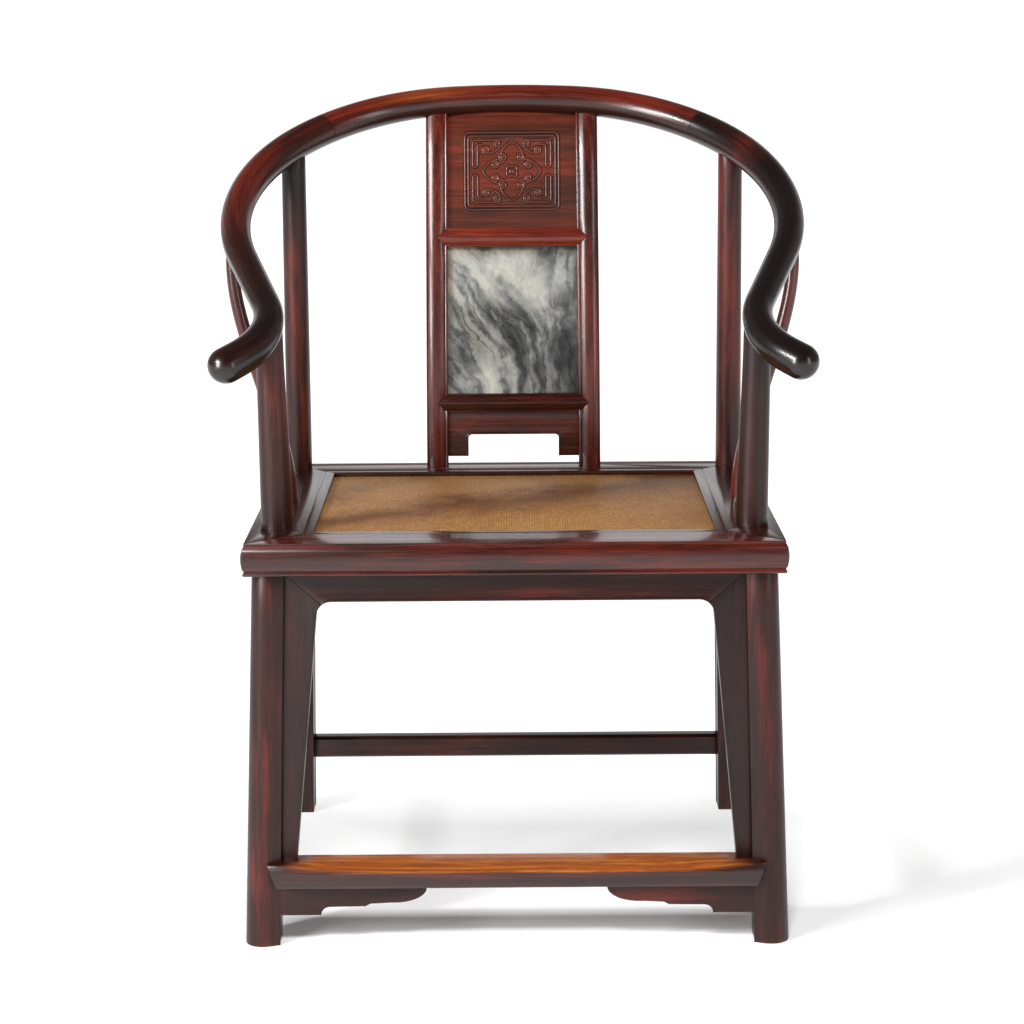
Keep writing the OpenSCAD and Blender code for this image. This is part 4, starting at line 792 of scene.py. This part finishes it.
def make_rail(sizes):
    """The back length and the two arms, cut where they lap, with dirt in their joints."""
    half = sizes.lap_length / 2
    total = rail_length(sizes)
    dome = sizes.hand_width / 2
    step, seam = 0.004, 0.00035
    # Each length runs on past its lap, and cutters that reach this far and stand this wide take the rest off
    overlap, reach, wide = 0.01, 0.09, 0.04
    pieces = []
    # Back length: past each lap its upper half goes to the arms
    end = sizes.lap_place + half + overlap
    line = stations(-end, end, step)
    points = [rail_frame(sizes, s)[0] for s in line]
    radii = [rail_radius(sizes, s) for s in line]
    back = swept_rod("arm_rail_back_wood", points, radii, sizes.sides, "handled_hardwood")
    cutters = []
    for side in (-1, 1):
        place = lap_matrix(sizes, side)
        upper = ((-half - seam / 2, -wide, -wide), (reach, wide, seam / 2))
        cutters.append(box_object("lap_upper", place, upper))
        cutters.append(box_object("lap_end", place, ((half - seam, -wide, -wide), (reach, wide, wide))))
    cut_away(back, cutters)
    winding_grain(back, points, 1.0, crest_tone_and_shade, crest_gold)
    pieces.append(("arm_rail_back", back))
    # Arms: each ends in a dome, whose rings are four degrees apart and close in a point
    body = stations(sizes.lap_place - half - overlap, total - dome, step)
    tip, point_radius = 1e-6, 2e-5
    line = body + [total - dome + dome * math.sin(math.radians(a)) for a in range(4, 90, 4)] + [total - tip]
    radii = [max(rail_radius(sizes, s), point_radius) for s in line]
    for side, word, tone in ((-1, "left", left_arm_tone_and_shade), (1, "right", right_arm_tone)):
        points = [rail_frame(sizes, s * side)[0] for s in line]
        arm = swept_rod(f"arm_rail_{word}_wood", points, radii, sizes.sides, "handled_hardwood")
        place = lap_matrix(sizes, side)
        lower = ((-reach, -wide, -seam / 2), (half + seam / 2, wide, wide))
        cutters = [
            box_object("lap_lower", place, lower),
            box_object("lap_butt", place, ((-reach, -wide, -wide), (-half + seam, wide, wide))),
        ]
        cut_away(arm, cutters)
        winding_grain(arm, points, 3.0 + side, tone)
        pieces.append((f"arm_rail_{word}", arm))
    for node, obj in pieces:
        # Dirt fills the joints
        obj.data.materials.append(finish("blackened_hardwood"))
        bevel = obj.modifiers.new("joint", "BEVEL")
        bevel.material = 1
        bevel.width = 0.7 * MM
        bevel.segments = 1
        bevel.limit_method = "ANGLE"
        bevel.angle_limit = math.radians(50)
        baked(obj)
        smooth_by_angle(obj.data)
        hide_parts(node)
        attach(obj, "root")


# Height over the rail's centre line at which its top or underside has its full tone, with painted light on
# top and painted shade underneath
RAIL_HALF = 0.018


def crest_tone_and_shade(along, co, height):
    """Red-brown on top as painted light, dark underneath as painted shade, and darker to the laps."""
    return -0.06 + np.clip(height / RAIL_HALF, -1, 1) * 0.20 - 1.2 * np.abs(co[:, 0] + 0.02) ** 1.5


def crest_gold(along, co, height):
    """The finish has worn to golden wood over the top of the crest's left half."""
    middle = np.clip(1 - np.abs(co[:, 0] + 0.10) / 0.16, 0, 1)
    return 0.27 * middle * np.clip(0.5 + height / RAIL_HALF, 0, 1)


def left_arm_tone_and_shade(along, co, height):
    """Dark at the lap, red-brown round the flank, near-black at the hand, and darker underneath as painted
    shade.
    """
    flank = np.exp(-(((along - 0.21) / 0.09) ** 2))
    forward = np.clip((along - 0.28) / 0.14, 0, 1)
    return -0.15 + 0.10 * flank - 0.28 * forward - 0.14 * np.clip(0.3 - height / RAIL_HALF, 0, 1)


def right_arm_tone(along, co, height):
    """Near-black from hand to lap, but for a red-brown stretch in front of the lap."""
    patch = np.exp(-(((along - 0.10) / 0.035) ** 2))
    return -0.46 + 0.40 * patch


def front_post_tone(along, co, height):
    """Darkened by hands and sleeves, the right post more than the left."""
    return np.where(co[:, 0] < 0, -0.06, -0.10)


def worn_top(co):
    """Feet have taken the finish off the footrest's top, all but its ends."""
    top = co[:, 2].max()
    depth = np.clip((co[:, 2] - top + 0.0105) / 0.004, 0, 1)
    return depth * np.clip((0.285 - np.abs(co[:, 0])) / 0.05, 0, 1)


# Heights on a leg where its wear changes: the foot, the seat and the dark head of the left rear post
LEG_LEVELS = (0.004, 0.014, 0.40, 0.50, 0.76, 0.85)
FOOT_BARE, FOOT_WORN, SEAT_LOW, SEAT_HIGH, HEAD_LOW, HEAD_HIGH = LEG_LEVELS


def leg_tone(co):
    """Dark below the seat and redder above it, but for the handled head of the left rear post."""
    above = np.clip((co[:, 2] - SEAT_LOW) / (SEAT_HIGH - SEAT_LOW), 0, 1)
    head = np.clip((co[:, 2] - HEAD_LOW) / (HEAD_HIGH - HEAD_LOW), 0, 1) * (co[:, 0] < 0)
    return -0.08 + 0.13 * above - 0.45 * head


def worn_foot(co):
    """Mopping has bared the wood at the very foot of a leg."""
    return 0.15 * np.clip((FOOT_WORN - co[:, 2]) / (FOOT_WORN - FOOT_BARE), 0, 1)


# Posts: where the head stands along the rail, where the foot stands aside of the seat's middle and behind
# its front edge, and widths in millimetres from the foot up
FRONT_POST = (0.698, (0.276, 0.090), (37, 31.5))
SIDE_POST = (0.496, (0.277, 0.246), (22, 17, 15))


def bezier_line(a, b, c, d, count):
    """Points along the Bezier curve from a to d."""
    line = []
    for i in range(count + 1):
        t = i / count
        u = 1 - t
        line.append(u ** 3 * a + 3 * t * u ** 2 * b + 3 * t * t * u * c + t ** 3 * d)
    return line


def tapered(widths, count):
    """Radii of a post whose width eases from each of its widths in millimetres to the next."""
    radii = []
    for i in range(count + 1):
        place = i / count * (len(widths) - 1)
        k = min(int(place), len(widths) - 2)
        wide = widths[k] + (widths[k + 1] - widths[k]) * eased(place - k)
        radii.append(wide / 2 * MM)
    return radii


def post_ends(sizes, side, station, foot):
    """A post's foot on the seat and its head on the rail's centre line."""
    seat_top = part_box("seat_frame_front")[1].z
    return Vector((side * foot[0], SEAT_FRONT + foot[1], seat_top)), rail_frame(sizes, side * station)[0]


def stand_post(node, line, widths, sides, wood, seed, tone=None):
    """A swept post with its grain along its line, in place of its node."""
    post = swept_rod(f"{node}_wood", line, tapered(widths, len(line) - 1), sides, wood)
    winding_grain(post, line, seed, tone)
    smooth_by_angle(post.data)
    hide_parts(node)
    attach(post, "root")


def make_posts(sizes):
    """Front and side posts, smooth from the seat to the rail's centre line."""
    for side, word in ((-1, "left"), (1, "right")):
        station, place, widths = FRONT_POST
        foot, head = post_ends(sizes, side, station, place)
        rise = Vector((0, 0, (head - foot).z * 0.35))
        line = bezier_line(foot, foot + rise, head - rise + Vector((0, 0.004, 0)), head, 60)
        stand_post(f"front_post_{word}", line, widths, 48, "dull_hardwood", 8 + side, front_post_tone)
        # A side post rises steeply, bows outwards and comes in again under the rail
        station, place, widths = SIDE_POST
        foot, head = post_ends(sizes, side, station, place)
        rise = (head - foot).z
        lower = foot + Vector((0, 0, rise * 0.36))
        upper = head + Vector((side * 0.027, 0, -rise * 0.33))
        line = bezier_line(foot, lower, upper, head, 80)
        stand_post(f"side_post_{word}", line, widths, 32, "polished_hardwood", 12 + side)


# Carved ornament of the splat's upper panel, in metres from its own middle


# Signs that mirror a quarter of the ornament into the whole
QUARTERS = ((-1, -1), (-1, 1), (1, -1), (1, 1))


def arc(centre, radius, start, end, count=8):
    """Points along an arc, from one angle in degrees to another."""
    turns = [math.radians(start + (end - start) * i / count) for i in range(count + 1)]
    return [(centre[0] + radius * math.cos(a), centre[1] + radius * math.sin(a)) for a in turns]


def rounded_frame(half_w, half_h, r):
    """A closed rectangle with round corners."""
    corners = ((half_w - r, half_h - r, 0), (r - half_w, half_h - r, 90),
               (r - half_w, r - half_h, 180), (half_w - r, r - half_h, 270))
    line = []
    for x, z, start in corners:
        line += arc((x, z), r, start, start + 90, 6)
    return line + line[:1]


def polar_line(radius, count=96):
    """A closed line whose distance from the middle follows a rule of the angle."""
    turns = [2 * math.pi * i / count for i in range(count + 1)]
    return [(radius(a) * math.cos(a), radius(a) * math.sin(a)) for a in turns]


def curve_through(a, b, c, count=12):
    """A curve from a to c that bends towards b."""
    line = []
    for i in range(count + 1):
        t = i / count
        line.append(tuple((1 - t) ** 2 * a[k] + 2 * t * (1 - t) * b[k] + t * t * c[k] for k in range(2)))
    return line


def carved_lines():
    """The double border, the cusped lozenge with its flower, and a quarter's bracket and stems, mirrored."""
    lines = [
        rounded_frame(0.0605, 0.0488, 0.0065),
        rounded_frame(0.0562, 0.0445, 0.0045),
        polar_line(lambda a: 0.0225 + 0.0148 * (1 - abs(math.sin(2 * a))) + 0.003 * abs(math.sin(4 * a))),
        polar_line(lambda a: 0.0052 + 0.0030 * abs(math.sin(2 * a)), 64),
        polar_line(lambda a: 0.0020, 16),
    ]
    bracket = (
        [(0.0370, 0.0335), (0.0415, 0.0335)]
        + arc((0.0415, 0.0310), 0.0025, 90, 0, 4)
        + arc((0.0472, 0.0080), 0.0032, 180, 360, 10)
        + arc((0.0464, 0.0352), 0.0040, 0, 90, 6)
        + [(0.0150, 0.0392)]
    )
    stems = [
        curve_through((0.0150, 0.0312), (0.0235, 0.0205), (0.0345, 0.0235)),
        curve_through((0.0120, 0.0115), (0.0155, 0.0110), (0.0165, 0.0085)),
    ]
    for sx, sz in QUARTERS:
        for line in (bracket, *stems):
            lines.append([(sx * x, sz * z) for x, z in line])
    return lines


# Volutes of a quarter: place, size and turn in degrees
VOLUTES = (
    (0.0112, 0.0172, 0.0060, 200),
    (0.0217, 0.0080, 0.0054, 20),
    (0.0185, 0.0345, 0.0050, 250),
    (0.0330, 0.0268, 0.0052, 250),
)
# Turns of a volute's spiral, height of the ornament's middle, and place of the panel in the plank
VOLUTE_TURNS = 1.9
ORNAMENT_HEIGHT = 0.865
CARVED_SEED = 54


def carving_tree():
    """Geometry Nodes tree that lays lines and volutes on the panel's face and raises them as round ridges."""
    tree = bpy.data.node_groups.new("carving", "GeometryNodeTree")
    face = tree.interface
    face.new_socket("Geometry", in_out="INPUT", socket_type="NodeSocketGeometry")
    keys = {}
    for label, kind in (
        ("Volutes", "NodeSocketObject"), ("Panel", "NodeSocketObject"), ("Turns", "NodeSocketFloat"),
        ("Ridge", "NodeSocketFloat"), ("Relief", "NodeSocketFloat"), ("Plane", "NodeSocketFloat"),
        ("Wood", "NodeSocketMaterial"),
    ):
        keys[label] = face.new_socket(label, in_out="INPUT", socket_type=kind).identifier
    face.new_socket("Geometry", in_out="OUTPUT", socket_type="NodeSocketGeometry")
    given = add(tree, "NodeGroupInput")
    lines = add(tree, "GeometryNodeMeshToCurve", {"Mesh": given.outputs["Geometry"]}).outputs["Curve"]
    spiral = add(
        tree, "GeometryNodeCurveSpiral",
        {"Resolution": 14, "Rotations": given.outputs["Turns"], "Start Radius": 0.12, "End Radius": 1.0,
         "Height": 0.0},
    ).outputs["Curve"]
    upright = add(
        tree, "GeometryNodeTransform", {"Geometry": spiral, "Rotation": (math.pi / 2, 0.0, 0.0)}
    ).outputs["Geometry"]
    places = add(tree, "GeometryNodeObjectInfo", {"Object": given.outputs["Volutes"]}).outputs["Geometry"]
    turn = add(tree, "GeometryNodeInputNamedAttribute", {"Name": "turn"}, data_type="FLOAT_VECTOR")
    size = add(tree, "GeometryNodeInputNamedAttribute", {"Name": "size"}, data_type="FLOAT_VECTOR")
    curls = add(
        tree, "GeometryNodeInstanceOnPoints",
        {"Points": places, "Instance": upright, "Rotation": turn.outputs["Attribute"],
         "Scale": size.outputs["Attribute"]},
    ).outputs["Instances"]
    curls = add(tree, "GeometryNodeRealizeInstances", {"Geometry": curls}).outputs["Geometry"]
    both = add(tree, "GeometryNodeJoinGeometry")
    tree.links.new(lines, both.inputs["Geometry"])
    tree.links.new(curls, both.inputs["Geometry"])
    fine = add(
        tree, "GeometryNodeResampleCurve", {"Curve": both.outputs["Geometry"], "Length": 0.9 * MM},
        mode="LENGTH",
    ).outputs["Curve"]
    ring = add(
        tree, "GeometryNodeCurvePrimitiveCircle", {"Resolution": 10, "Radius": given.outputs["Ridge"]},
        mode="RADIUS",
    ).outputs["Curve"]
    flat = add(
        tree, "GeometryNodeCurveToMesh", {"Curve": fine, "Profile Curve": ring, "Fill Caps": True}
    ).outputs["Mesh"]
    # Each point drops straight back on the panel and keeps its own height, scaled to the relief
    panel = add(tree, "GeometryNodeObjectInfo", {"Object": given.outputs["Panel"]}).outputs["Geometry"]
    here = add(tree, "GeometryNodeInputPosition").outputs["Position"]
    before = add(
        tree, "ShaderNodeVectorMath", {0: here, 1: (0.0, -0.1, 0.0)}, operation="ADD"
    ).outputs["Vector"]
    drop = add(
        tree, "GeometryNodeRaycast",
        {"Target Geometry": panel, "Source Position": before, "Ray Direction": BACK, "Ray Length": 0.3},
    )
    own = add(tree, "ShaderNodeSeparateXYZ", {"Vector": here}).outputs["Y"]
    own = add(tree, "ShaderNodeMath", {0: own, 1: given.outputs["Plane"]}, operation="SUBTRACT").outputs[0]
    own = add(tree, "ShaderNodeMath", {0: own, 1: given.outputs["Relief"]}, operation="MULTIPLY").outputs[0]
    lift = add(tree, "ShaderNodeCombineXYZ", {"Y": own}).outputs["Vector"]
    ridges = add(
        tree, "GeometryNodeSetPosition",
        {"Geometry": flat, "Selection": drop.outputs["Is Hit"], "Position": drop.outputs["Hit Position"],
         "Offset": lift},
    ).outputs["Geometry"]
    real = add(tree, "GeometryNodeRealizeInstances", {"Geometry": ridges}).outputs["Geometry"]
    coloured = add(
        tree, "GeometryNodeSetMaterial", {"Geometry": real, "Material": given.outputs["Wood"]}
    ).outputs["Geometry"]
    out = add(tree, "NodeGroupOutput")
    tree.links.new(coloured, out.inputs["Geometry"])
    return tree, keys


def make_carving(name, panel, ridge, relief, wood):
    """The scroll ornament as round ridges of one half width, flattened by relief, half sunk in the panel."""
    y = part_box("splat_carved_panel")[0].y
    points, edges = [], []
    for line in carved_lines():
        first = len(points)
        points += [(x, y, ORNAMENT_HEIGHT + z) for x, z in line]
        edges += [(first + i, first + i + 1) for i in range(len(line) - 1)]
    mesh = bpy.data.meshes.new(name)
    mesh.from_pydata(points, edges, [])
    carving = link(name, mesh)
    places, spins, sizes = [], [], []
    for sx, sz in QUARTERS:
        for x, z, size, spin in VOLUTES:
            places.append((sx * x, y, ORNAMENT_HEIGHT + sz * z))
            spins.append((0.0, -sx * sz * math.radians(spin), 0.0))
            sizes.append((sx * size, size, sz * size))
    dots = bpy.data.meshes.new("volute_places")
    dots.from_pydata(places, [], [])
    store(dots, "turn", "FLOAT_VECTOR", spins)
    store(dots, "size", "FLOAT_VECTOR", sizes)
    volutes = link("volute_places", dots)
    tree, keys = carving_tree()
    modifier = carving.modifiers.new("carving", "NODES")
    modifier.node_group = tree
    for label, value in (
        ("Volutes", volutes), ("Panel", panel), ("Turns", VOLUTE_TURNS), ("Ridge", ridge),
        ("Relief", relief), ("Plane", y), ("Wood", finish(wood)),
    ):
        modifier[keys[label]] = value
    baked(carving)
    bpy.data.objects.remove(volutes)
    # The ridges are cut from the panel, so they share its grain
    straight_grain(carving, ACROSS, CARVED_SEED)
    smooth_by_angle(carving.data, 60)
    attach(carving, "root")


# Operators


class ARMCHAIR_OT_rail(bpy.types.Operator):
    """Makes the horseshoe rail in its three lengths."""

    bl_idname = "armchair.rail"
    bl_label = "Horseshoe rail"

    def execute(self, context):
        make_rail(context.scene.armchair_rail)
        for word in ("left", "right"):
            dressed(f"rail_peg_{word}", BACK, 5, "dark_wood", ("blackened_hardwood",), ease=0.3)
        return {"FINISHED"}


class ARMCHAIR_OT_posts(bpy.types.Operator):
    """Makes the front posts and the bowed side posts."""

    bl_idname = "armchair.posts"
    bl_label = "Posts"

    def execute(self, context):
        make_posts(context.scene.armchair_rail)
        return {"FINISHED"}


class ARMCHAIR_OT_legs(bpy.types.Operator):
    """Makes the legs, the rear ones with their posts."""

    bl_idname = "armchair.legs"
    bl_label = "Legs"

    def execute(self, context):
        for seed, node in enumerate(("front_leg_left", "front_leg_right", "rear_leg_left", "rear_leg_right")):
            dressed(
                node, UP, 20 + seed, "wood", ("footworn_hardwood", "rubbed_highlit_arris"),
                tone=leg_tone, gold=worn_foot, ease=0.5, angle=50, levels=LEG_LEVELS,
            )
        return {"FINISHED"}


class ARMCHAIR_OT_seat(bpy.types.Operator):
    """Makes the moulded seat frame, the strips, the board and its battens."""

    bl_idname = "armchair.seat"
    bl_label = "Seat frame"

    def execute(self, context):
        rails = (
            ("front", ACROSS, -0.05), ("back", ACROSS, -0.12), ("left", BACK, -0.20), ("right", BACK, -0.20),
        )
        for seed, (word, way, tone) in enumerate(rails):
            dressed(
                f"seat_frame_{word}", way, 30 + seed, "wood", ("polished_hardwood", "rubbed_highlit_arris"),
                tone=tone, ease=0.7,
            )
        for seed, (word, way, _) in enumerate(rails):
            dressed(
                f"mat_strip_{word}", way, 36 + seed, "dark_wood", ("polished_hardwood",), tone=-0.22, ease=0.4
            )
        for seed, (node, way) in enumerate(
            (("seat_board", ACROSS), ("seat_batten_left", BACK), ("seat_batten_right", BACK))
        ):
            dressed(node, way, 42 + seed, "worn_wood", ("handled_hardwood",), ease=0.5)
        return {"FINISHED"}


class ARMCHAIR_OT_mat(bpy.types.Operator):
    """Makes the woven cane mat."""

    bl_idname = "armchair.mat"
    bl_label = "Woven mat"

    def execute(self, context):
        obj = painted(eased_copy("seat_mat", suffix="cane", ease=0.3), "woven_cane")
        return {"FINISHED"}


class ARMCHAIR_OT_splat(bpy.types.Operator):
    """Makes the back splat's stiles, rails and panels."""

    bl_idname = "armchair.splat"
    bl_label = "Back splat"

    def execute(self, context):
        for seed, word in enumerate(("left", "right")):
            # Wax and dirt have gathered where the panels meet the stiles, and the dark eased arrises also
            # stand in as painted shade along the stiles' edges
            dressed(
                f"splat_stile_{word}", UP, 50 + seed, "wood", ("polished_hardwood", "blackened_hardwood"),
                tone=-0.06, ease=0.8, segments=3,
            )
        for seed, (word, tone) in enumerate((("middle", 0.06), ("lower", -0.08))):
            dressed(
                f"splat_{word}_rail", ACROSS, 52 + seed, "wood", ("polished_hardwood",),
                tone=tone, ease=1.8, segments=3,
            )
        # The carved panel's pale wash is a painted sheen
        panel = dressed(
            "splat_carved_panel", ACROSS, CARVED_SEED, "wood", ("painted_sheen_hardwood",), tone=-0.02, ease=0
        )
        # The ridges are pale partly from wear and partly with a painted highlight
        make_carving("splat_carving", panel, 1.3 * MM, 1.35, "rubbed_highlit_relief")
        # Dirt and painted shade along the foot of each ridge, as a low, wide dark band
        make_carving("splat_carving_shade", panel, 2.3 * MM, 0.05, "blackened_hardwood")
        dressed(
            "splat_lower_panel", ACROSS, 55, "wood", ("polished_hardwood", "rubbed_highlit_arris"),
            tone=-0.08, ease=0.6, segments=3,
        )
        marble = painted(eased_copy("splat_marble", suffix="stone", ease=0), "veined_marble")
        return {"FINISHED"}


class ARMCHAIR_OT_aprons(bpy.types.Operator):
    """Makes the aprons round the four sides."""

    bl_idname = "armchair.aprons"
    bl_label = "Aprons"

    def execute(self, context):
        for seed, (node, way) in enumerate(
            (("front_apron", ACROSS), ("front_apron_side_left", UP), ("front_apron_side_right", UP),
             ("flank_apron_left", BACK), ("flank_apron_right", BACK),
             ("flank_upright_front_left", UP), ("flank_upright_front_right", UP),
             ("flank_upright_rear_left", UP), ("flank_upright_rear_right", UP), ("back_apron", ACROSS))
        ):
            dressed(node, way, 60 + seed, "wood", ("dull_hardwood", "rubbed_highlit_arris"), tone=-0.16, ease=1.0)
        return {"FINISHED"}


class ARMCHAIR_OT_footrest(bpy.types.Operator):
    """Makes the footrest, its brackets and the stretchers."""

    bl_idname = "armchair.footrest"
    bl_label = "Footrest and stretchers"

    def execute(self, context):
        dressed(
            "footrest", ACROSS, 72, "worn_wood", ("handled_hardwood",), tone=-0.12, gold=worn_top, ease=0.8
        )
        for seed, (node, way) in enumerate(
            (("footrest_bracket_left", ACROSS), ("footrest_bracket_right", ACROSS),
             ("side_stretcher_left", BACK), ("side_stretcher_right", BACK), ("back_stretcher", ACROSS))
        ):
            dressed(node, way, 74 + seed, "wood", ("dull_hardwood",), ease=0.6)
        return {"FINISHED"}


# Lamps: place, target, size, power in watts, and the visibility that is switched off
LAMPS = (
    # The large card on the left only shows as a soft streak along the posts and stiles
    ("card", (-2.05, -2.1, 1.3), (0, 0, 0.6), (0.8, 1.5), 95, "visible_diffuse"),
    ("spark", (-2.4, -1.75, 1.95), (0, 0, 0.3), (0.25, 0.25), 46, None),
    ("fill", (2.0, -2.0, 1.1), (0, 0, 0.6), (0.5, 1.4), 12, None),
    # The other lamps are too soft to show as glints in the wood
    ("key", (-2.05, -2.1, 1.3), (0, -0.15, 0.2), (0.8, 1.4), 56, "visible_glossy"),
    ("front", (0.0, -2.2, 2.95), (0, -0.15, 0.2), (0.75, 0.75), 116, "visible_glossy"),
    ("left_back", (-2.4, 1.5, 1.6), (0, -0.15, 0.2), (0.5, 0.5), 12, "visible_glossy"),
)


def soft_box(name, place, target, size, power, hidden):
    """A rectangular lamp that faces a point."""
    light = bpy.data.lights.new(name, "AREA")
    light.shape = "RECTANGLE"
    light.size, light.size_y = size
    light.energy = power
    obj = bpy.data.objects.new(name, light)
    bpy.context.scene.collection.objects.link(obj)
    obj.location = place
    obj.rotation_euler = (Vector(target) - Vector(place)).to_track_quat("-Z", "Y").to_euler()
    if hidden:
        setattr(obj, hidden, False)


def studio_world():
    """A white field to the eye, and in the wood a half-lit room with a bright backdrop behind the chair."""
    world = bpy.data.worlds.new("studio")
    world.use_nodes = True
    tree = world.node_tree
    sky = tree.nodes["Background"]
    sky.inputs["Color"].default_value = rgba(grey(1.0))
    way = add(tree, "ShaderNodeTexCoord").outputs["Generated"]
    way = add(tree, "ShaderNodeSeparateXYZ", {"Vector": way}).outputs
    aside = add(tree, "ShaderNodeMath", {0: way["X"]}, operation="ABSOLUTE").outputs[0]
    bands = {}
    for name, direction, start, end, first, last in (
        # The backdrop is low and narrow
        ("behind", way["Y"], 0.1, 0.6, 0.0, 1.0),
        ("low", way["Z"], 0.28, 0.45, 1.0, 0.0),
        ("narrow", aside, 0.35, 0.75, 1.0, 0.0),
        # The room is darker to the front, and its ceiling is dark
        ("room", way["Y"], -0.7, 0.1, 0.06, 0.28),
        ("ceiling", way["Z"], 0.3, 0.8, 1.0, 0.3),
        # White paper also stands low in front of the chair, out of the picture
        ("ahead", way["Y"], -0.5, -0.8, 0.0, 0.3),
        ("short", way["Z"], 0.12, 0.26, 1.0, 0.0),
    ):
        bands[name] = add(
            tree, "ShaderNodeMapRange",
            {"Value": direction, "From Min": start, "From Max": end, "To Min": first, "To Max": last},
        ).outputs[0]
    backdrop = add(
        tree, "ShaderNodeMath", {0: bands["behind"], 1: bands["narrow"]}, operation="MULTIPLY"
    ).outputs[0]
    backdrop = add(tree, "ShaderNodeMath", {0: backdrop, 1: bands["low"]}, operation="MULTIPLY").outputs[0]
    room = add(
        tree, "ShaderNodeMath", {0: bands["room"], 1: bands["ceiling"]}, operation="MULTIPLY"
    ).outputs[0]
    room = add(
        tree, "ShaderNodeMath", {0: bands["ahead"], 1: bands["short"], 2: room}, operation="MULTIPLY_ADD"
    ).outputs[0]
    mirrored = add(tree, "ShaderNodeMix", {0: backdrop, 2: room, 3: 1.0}, data_type="FLOAT").outputs[0]
    seen = add(tree, "ShaderNodeLightPath").outputs["Is Camera Ray"]
    level = add(tree, "ShaderNodeMix", {0: seen, 2: mirrored, 3: 1.05}, data_type="FLOAT").outputs[0]
    tree.links.new(level, sky.inputs["Strength"])
    return world


def photo_camera():
    """The camera that fits the photograph, from its focal length in pixels of a picture 1024 pixels wide."""
    sensor, focal, picture = 36.0, 2345.2, 1024
    aside, ahead, above = -0.0028, 2.5725, 0.5979
    pitch, roll = math.radians(90 - 12.339), math.radians(-0.4)
    lens = bpy.data.cameras.new("photo_camera")
    lens.sensor_width = sensor
    lens.lens = sensor * focal / picture
    lens.clip_start, lens.clip_end = 0.05, 60.0
    camera = bpy.data.objects.new("photo_camera", lens)
    bpy.context.scene.collection.objects.link(camera)
    camera.matrix_world = (
        Matrix.Translation((aside, SEAT_FRONT - ahead, SEAT_TOP + above))
        @ Matrix.Rotation(pitch, 4, "X")
        @ Matrix.Rotation(roll, 4, "Z")
    )
    return camera


class ARMCHAIR_OT_stage(bpy.types.Operator):
    """Makes the pale floor, the studio lights and the camera."""

    bl_idname = "armchair.stage"
    bl_label = "Stage"

    def execute(self, context):
        scene = context.scene
        half = 14.0
        corners = [(-half, -half, 0), (half, -half, 0), (half, half, 0), (-half, half, 0)]
        mesh = bpy.data.meshes.new("studio_floor")
        mesh.from_pydata(corners, [], [(0, 1, 2, 3)])
        mesh.materials.append(studio_white("studio_white"))
        floor = link("studio_floor", mesh)
        scene.world = studio_world()
        scene.view_settings.view_transform = "Standard"
        for lamp in LAMPS:
            soft_box(*lamp)
        scene.camera = photo_camera()
        return {"FINISHED"}


class ARMCHAIR_PT_parts(bpy.types.Panel):
    """Lists the chair's pieces, its sizes and its colours."""

    bl_label = "Horseshoe-back armchair"
    bl_idname = "ARMCHAIR_PT_parts"
    bl_space_type = "VIEW_3D"
    bl_region_type = "UI"
    bl_category = "Armchair"

    def draw(self, context):
        for operator in OPERATORS:
            self.layout.operator(operator.bl_idname)
        for group in (context.scene.armchair_rail, context.scene.armchair_colours):
            box = self.layout.box()
            for name in group.bl_rna.properties.keys():
                if name not in ("rna_type", "name"):
                    box.prop(group, name)


OPERATORS = (
    ARMCHAIR_OT_stage,
    ARMCHAIR_OT_rail,
    ARMCHAIR_OT_posts,
    ARMCHAIR_OT_legs,
    ARMCHAIR_OT_seat,
    ARMCHAIR_OT_mat,
    ARMCHAIR_OT_splat,
    ARMCHAIR_OT_aprons,
    ARMCHAIR_OT_footrest,
)
CLASSES = (RailSizes, FinishColours, *OPERATORS, ARMCHAIR_PT_parts)


def register():
    for item in CLASSES:
        bpy.utils.register_class(item)
    bpy.types.Scene.armchair_rail = PointerProperty(type=RailSizes)
    bpy.types.Scene.armchair_colours = PointerProperty(type=FinishColours)


def unregister():
    del bpy.types.Scene.armchair_rail
    del bpy.types.Scene.armchair_colours
    for item in reversed(CLASSES):
        bpy.utils.unregister_class(item)


def main():
    register()
    for operator in OPERATORS:
        group, name = operator.bl_idname.split(".")
        getattr(getattr(bpy.ops, group), name)()


if __name__ == "__main__":
    main()
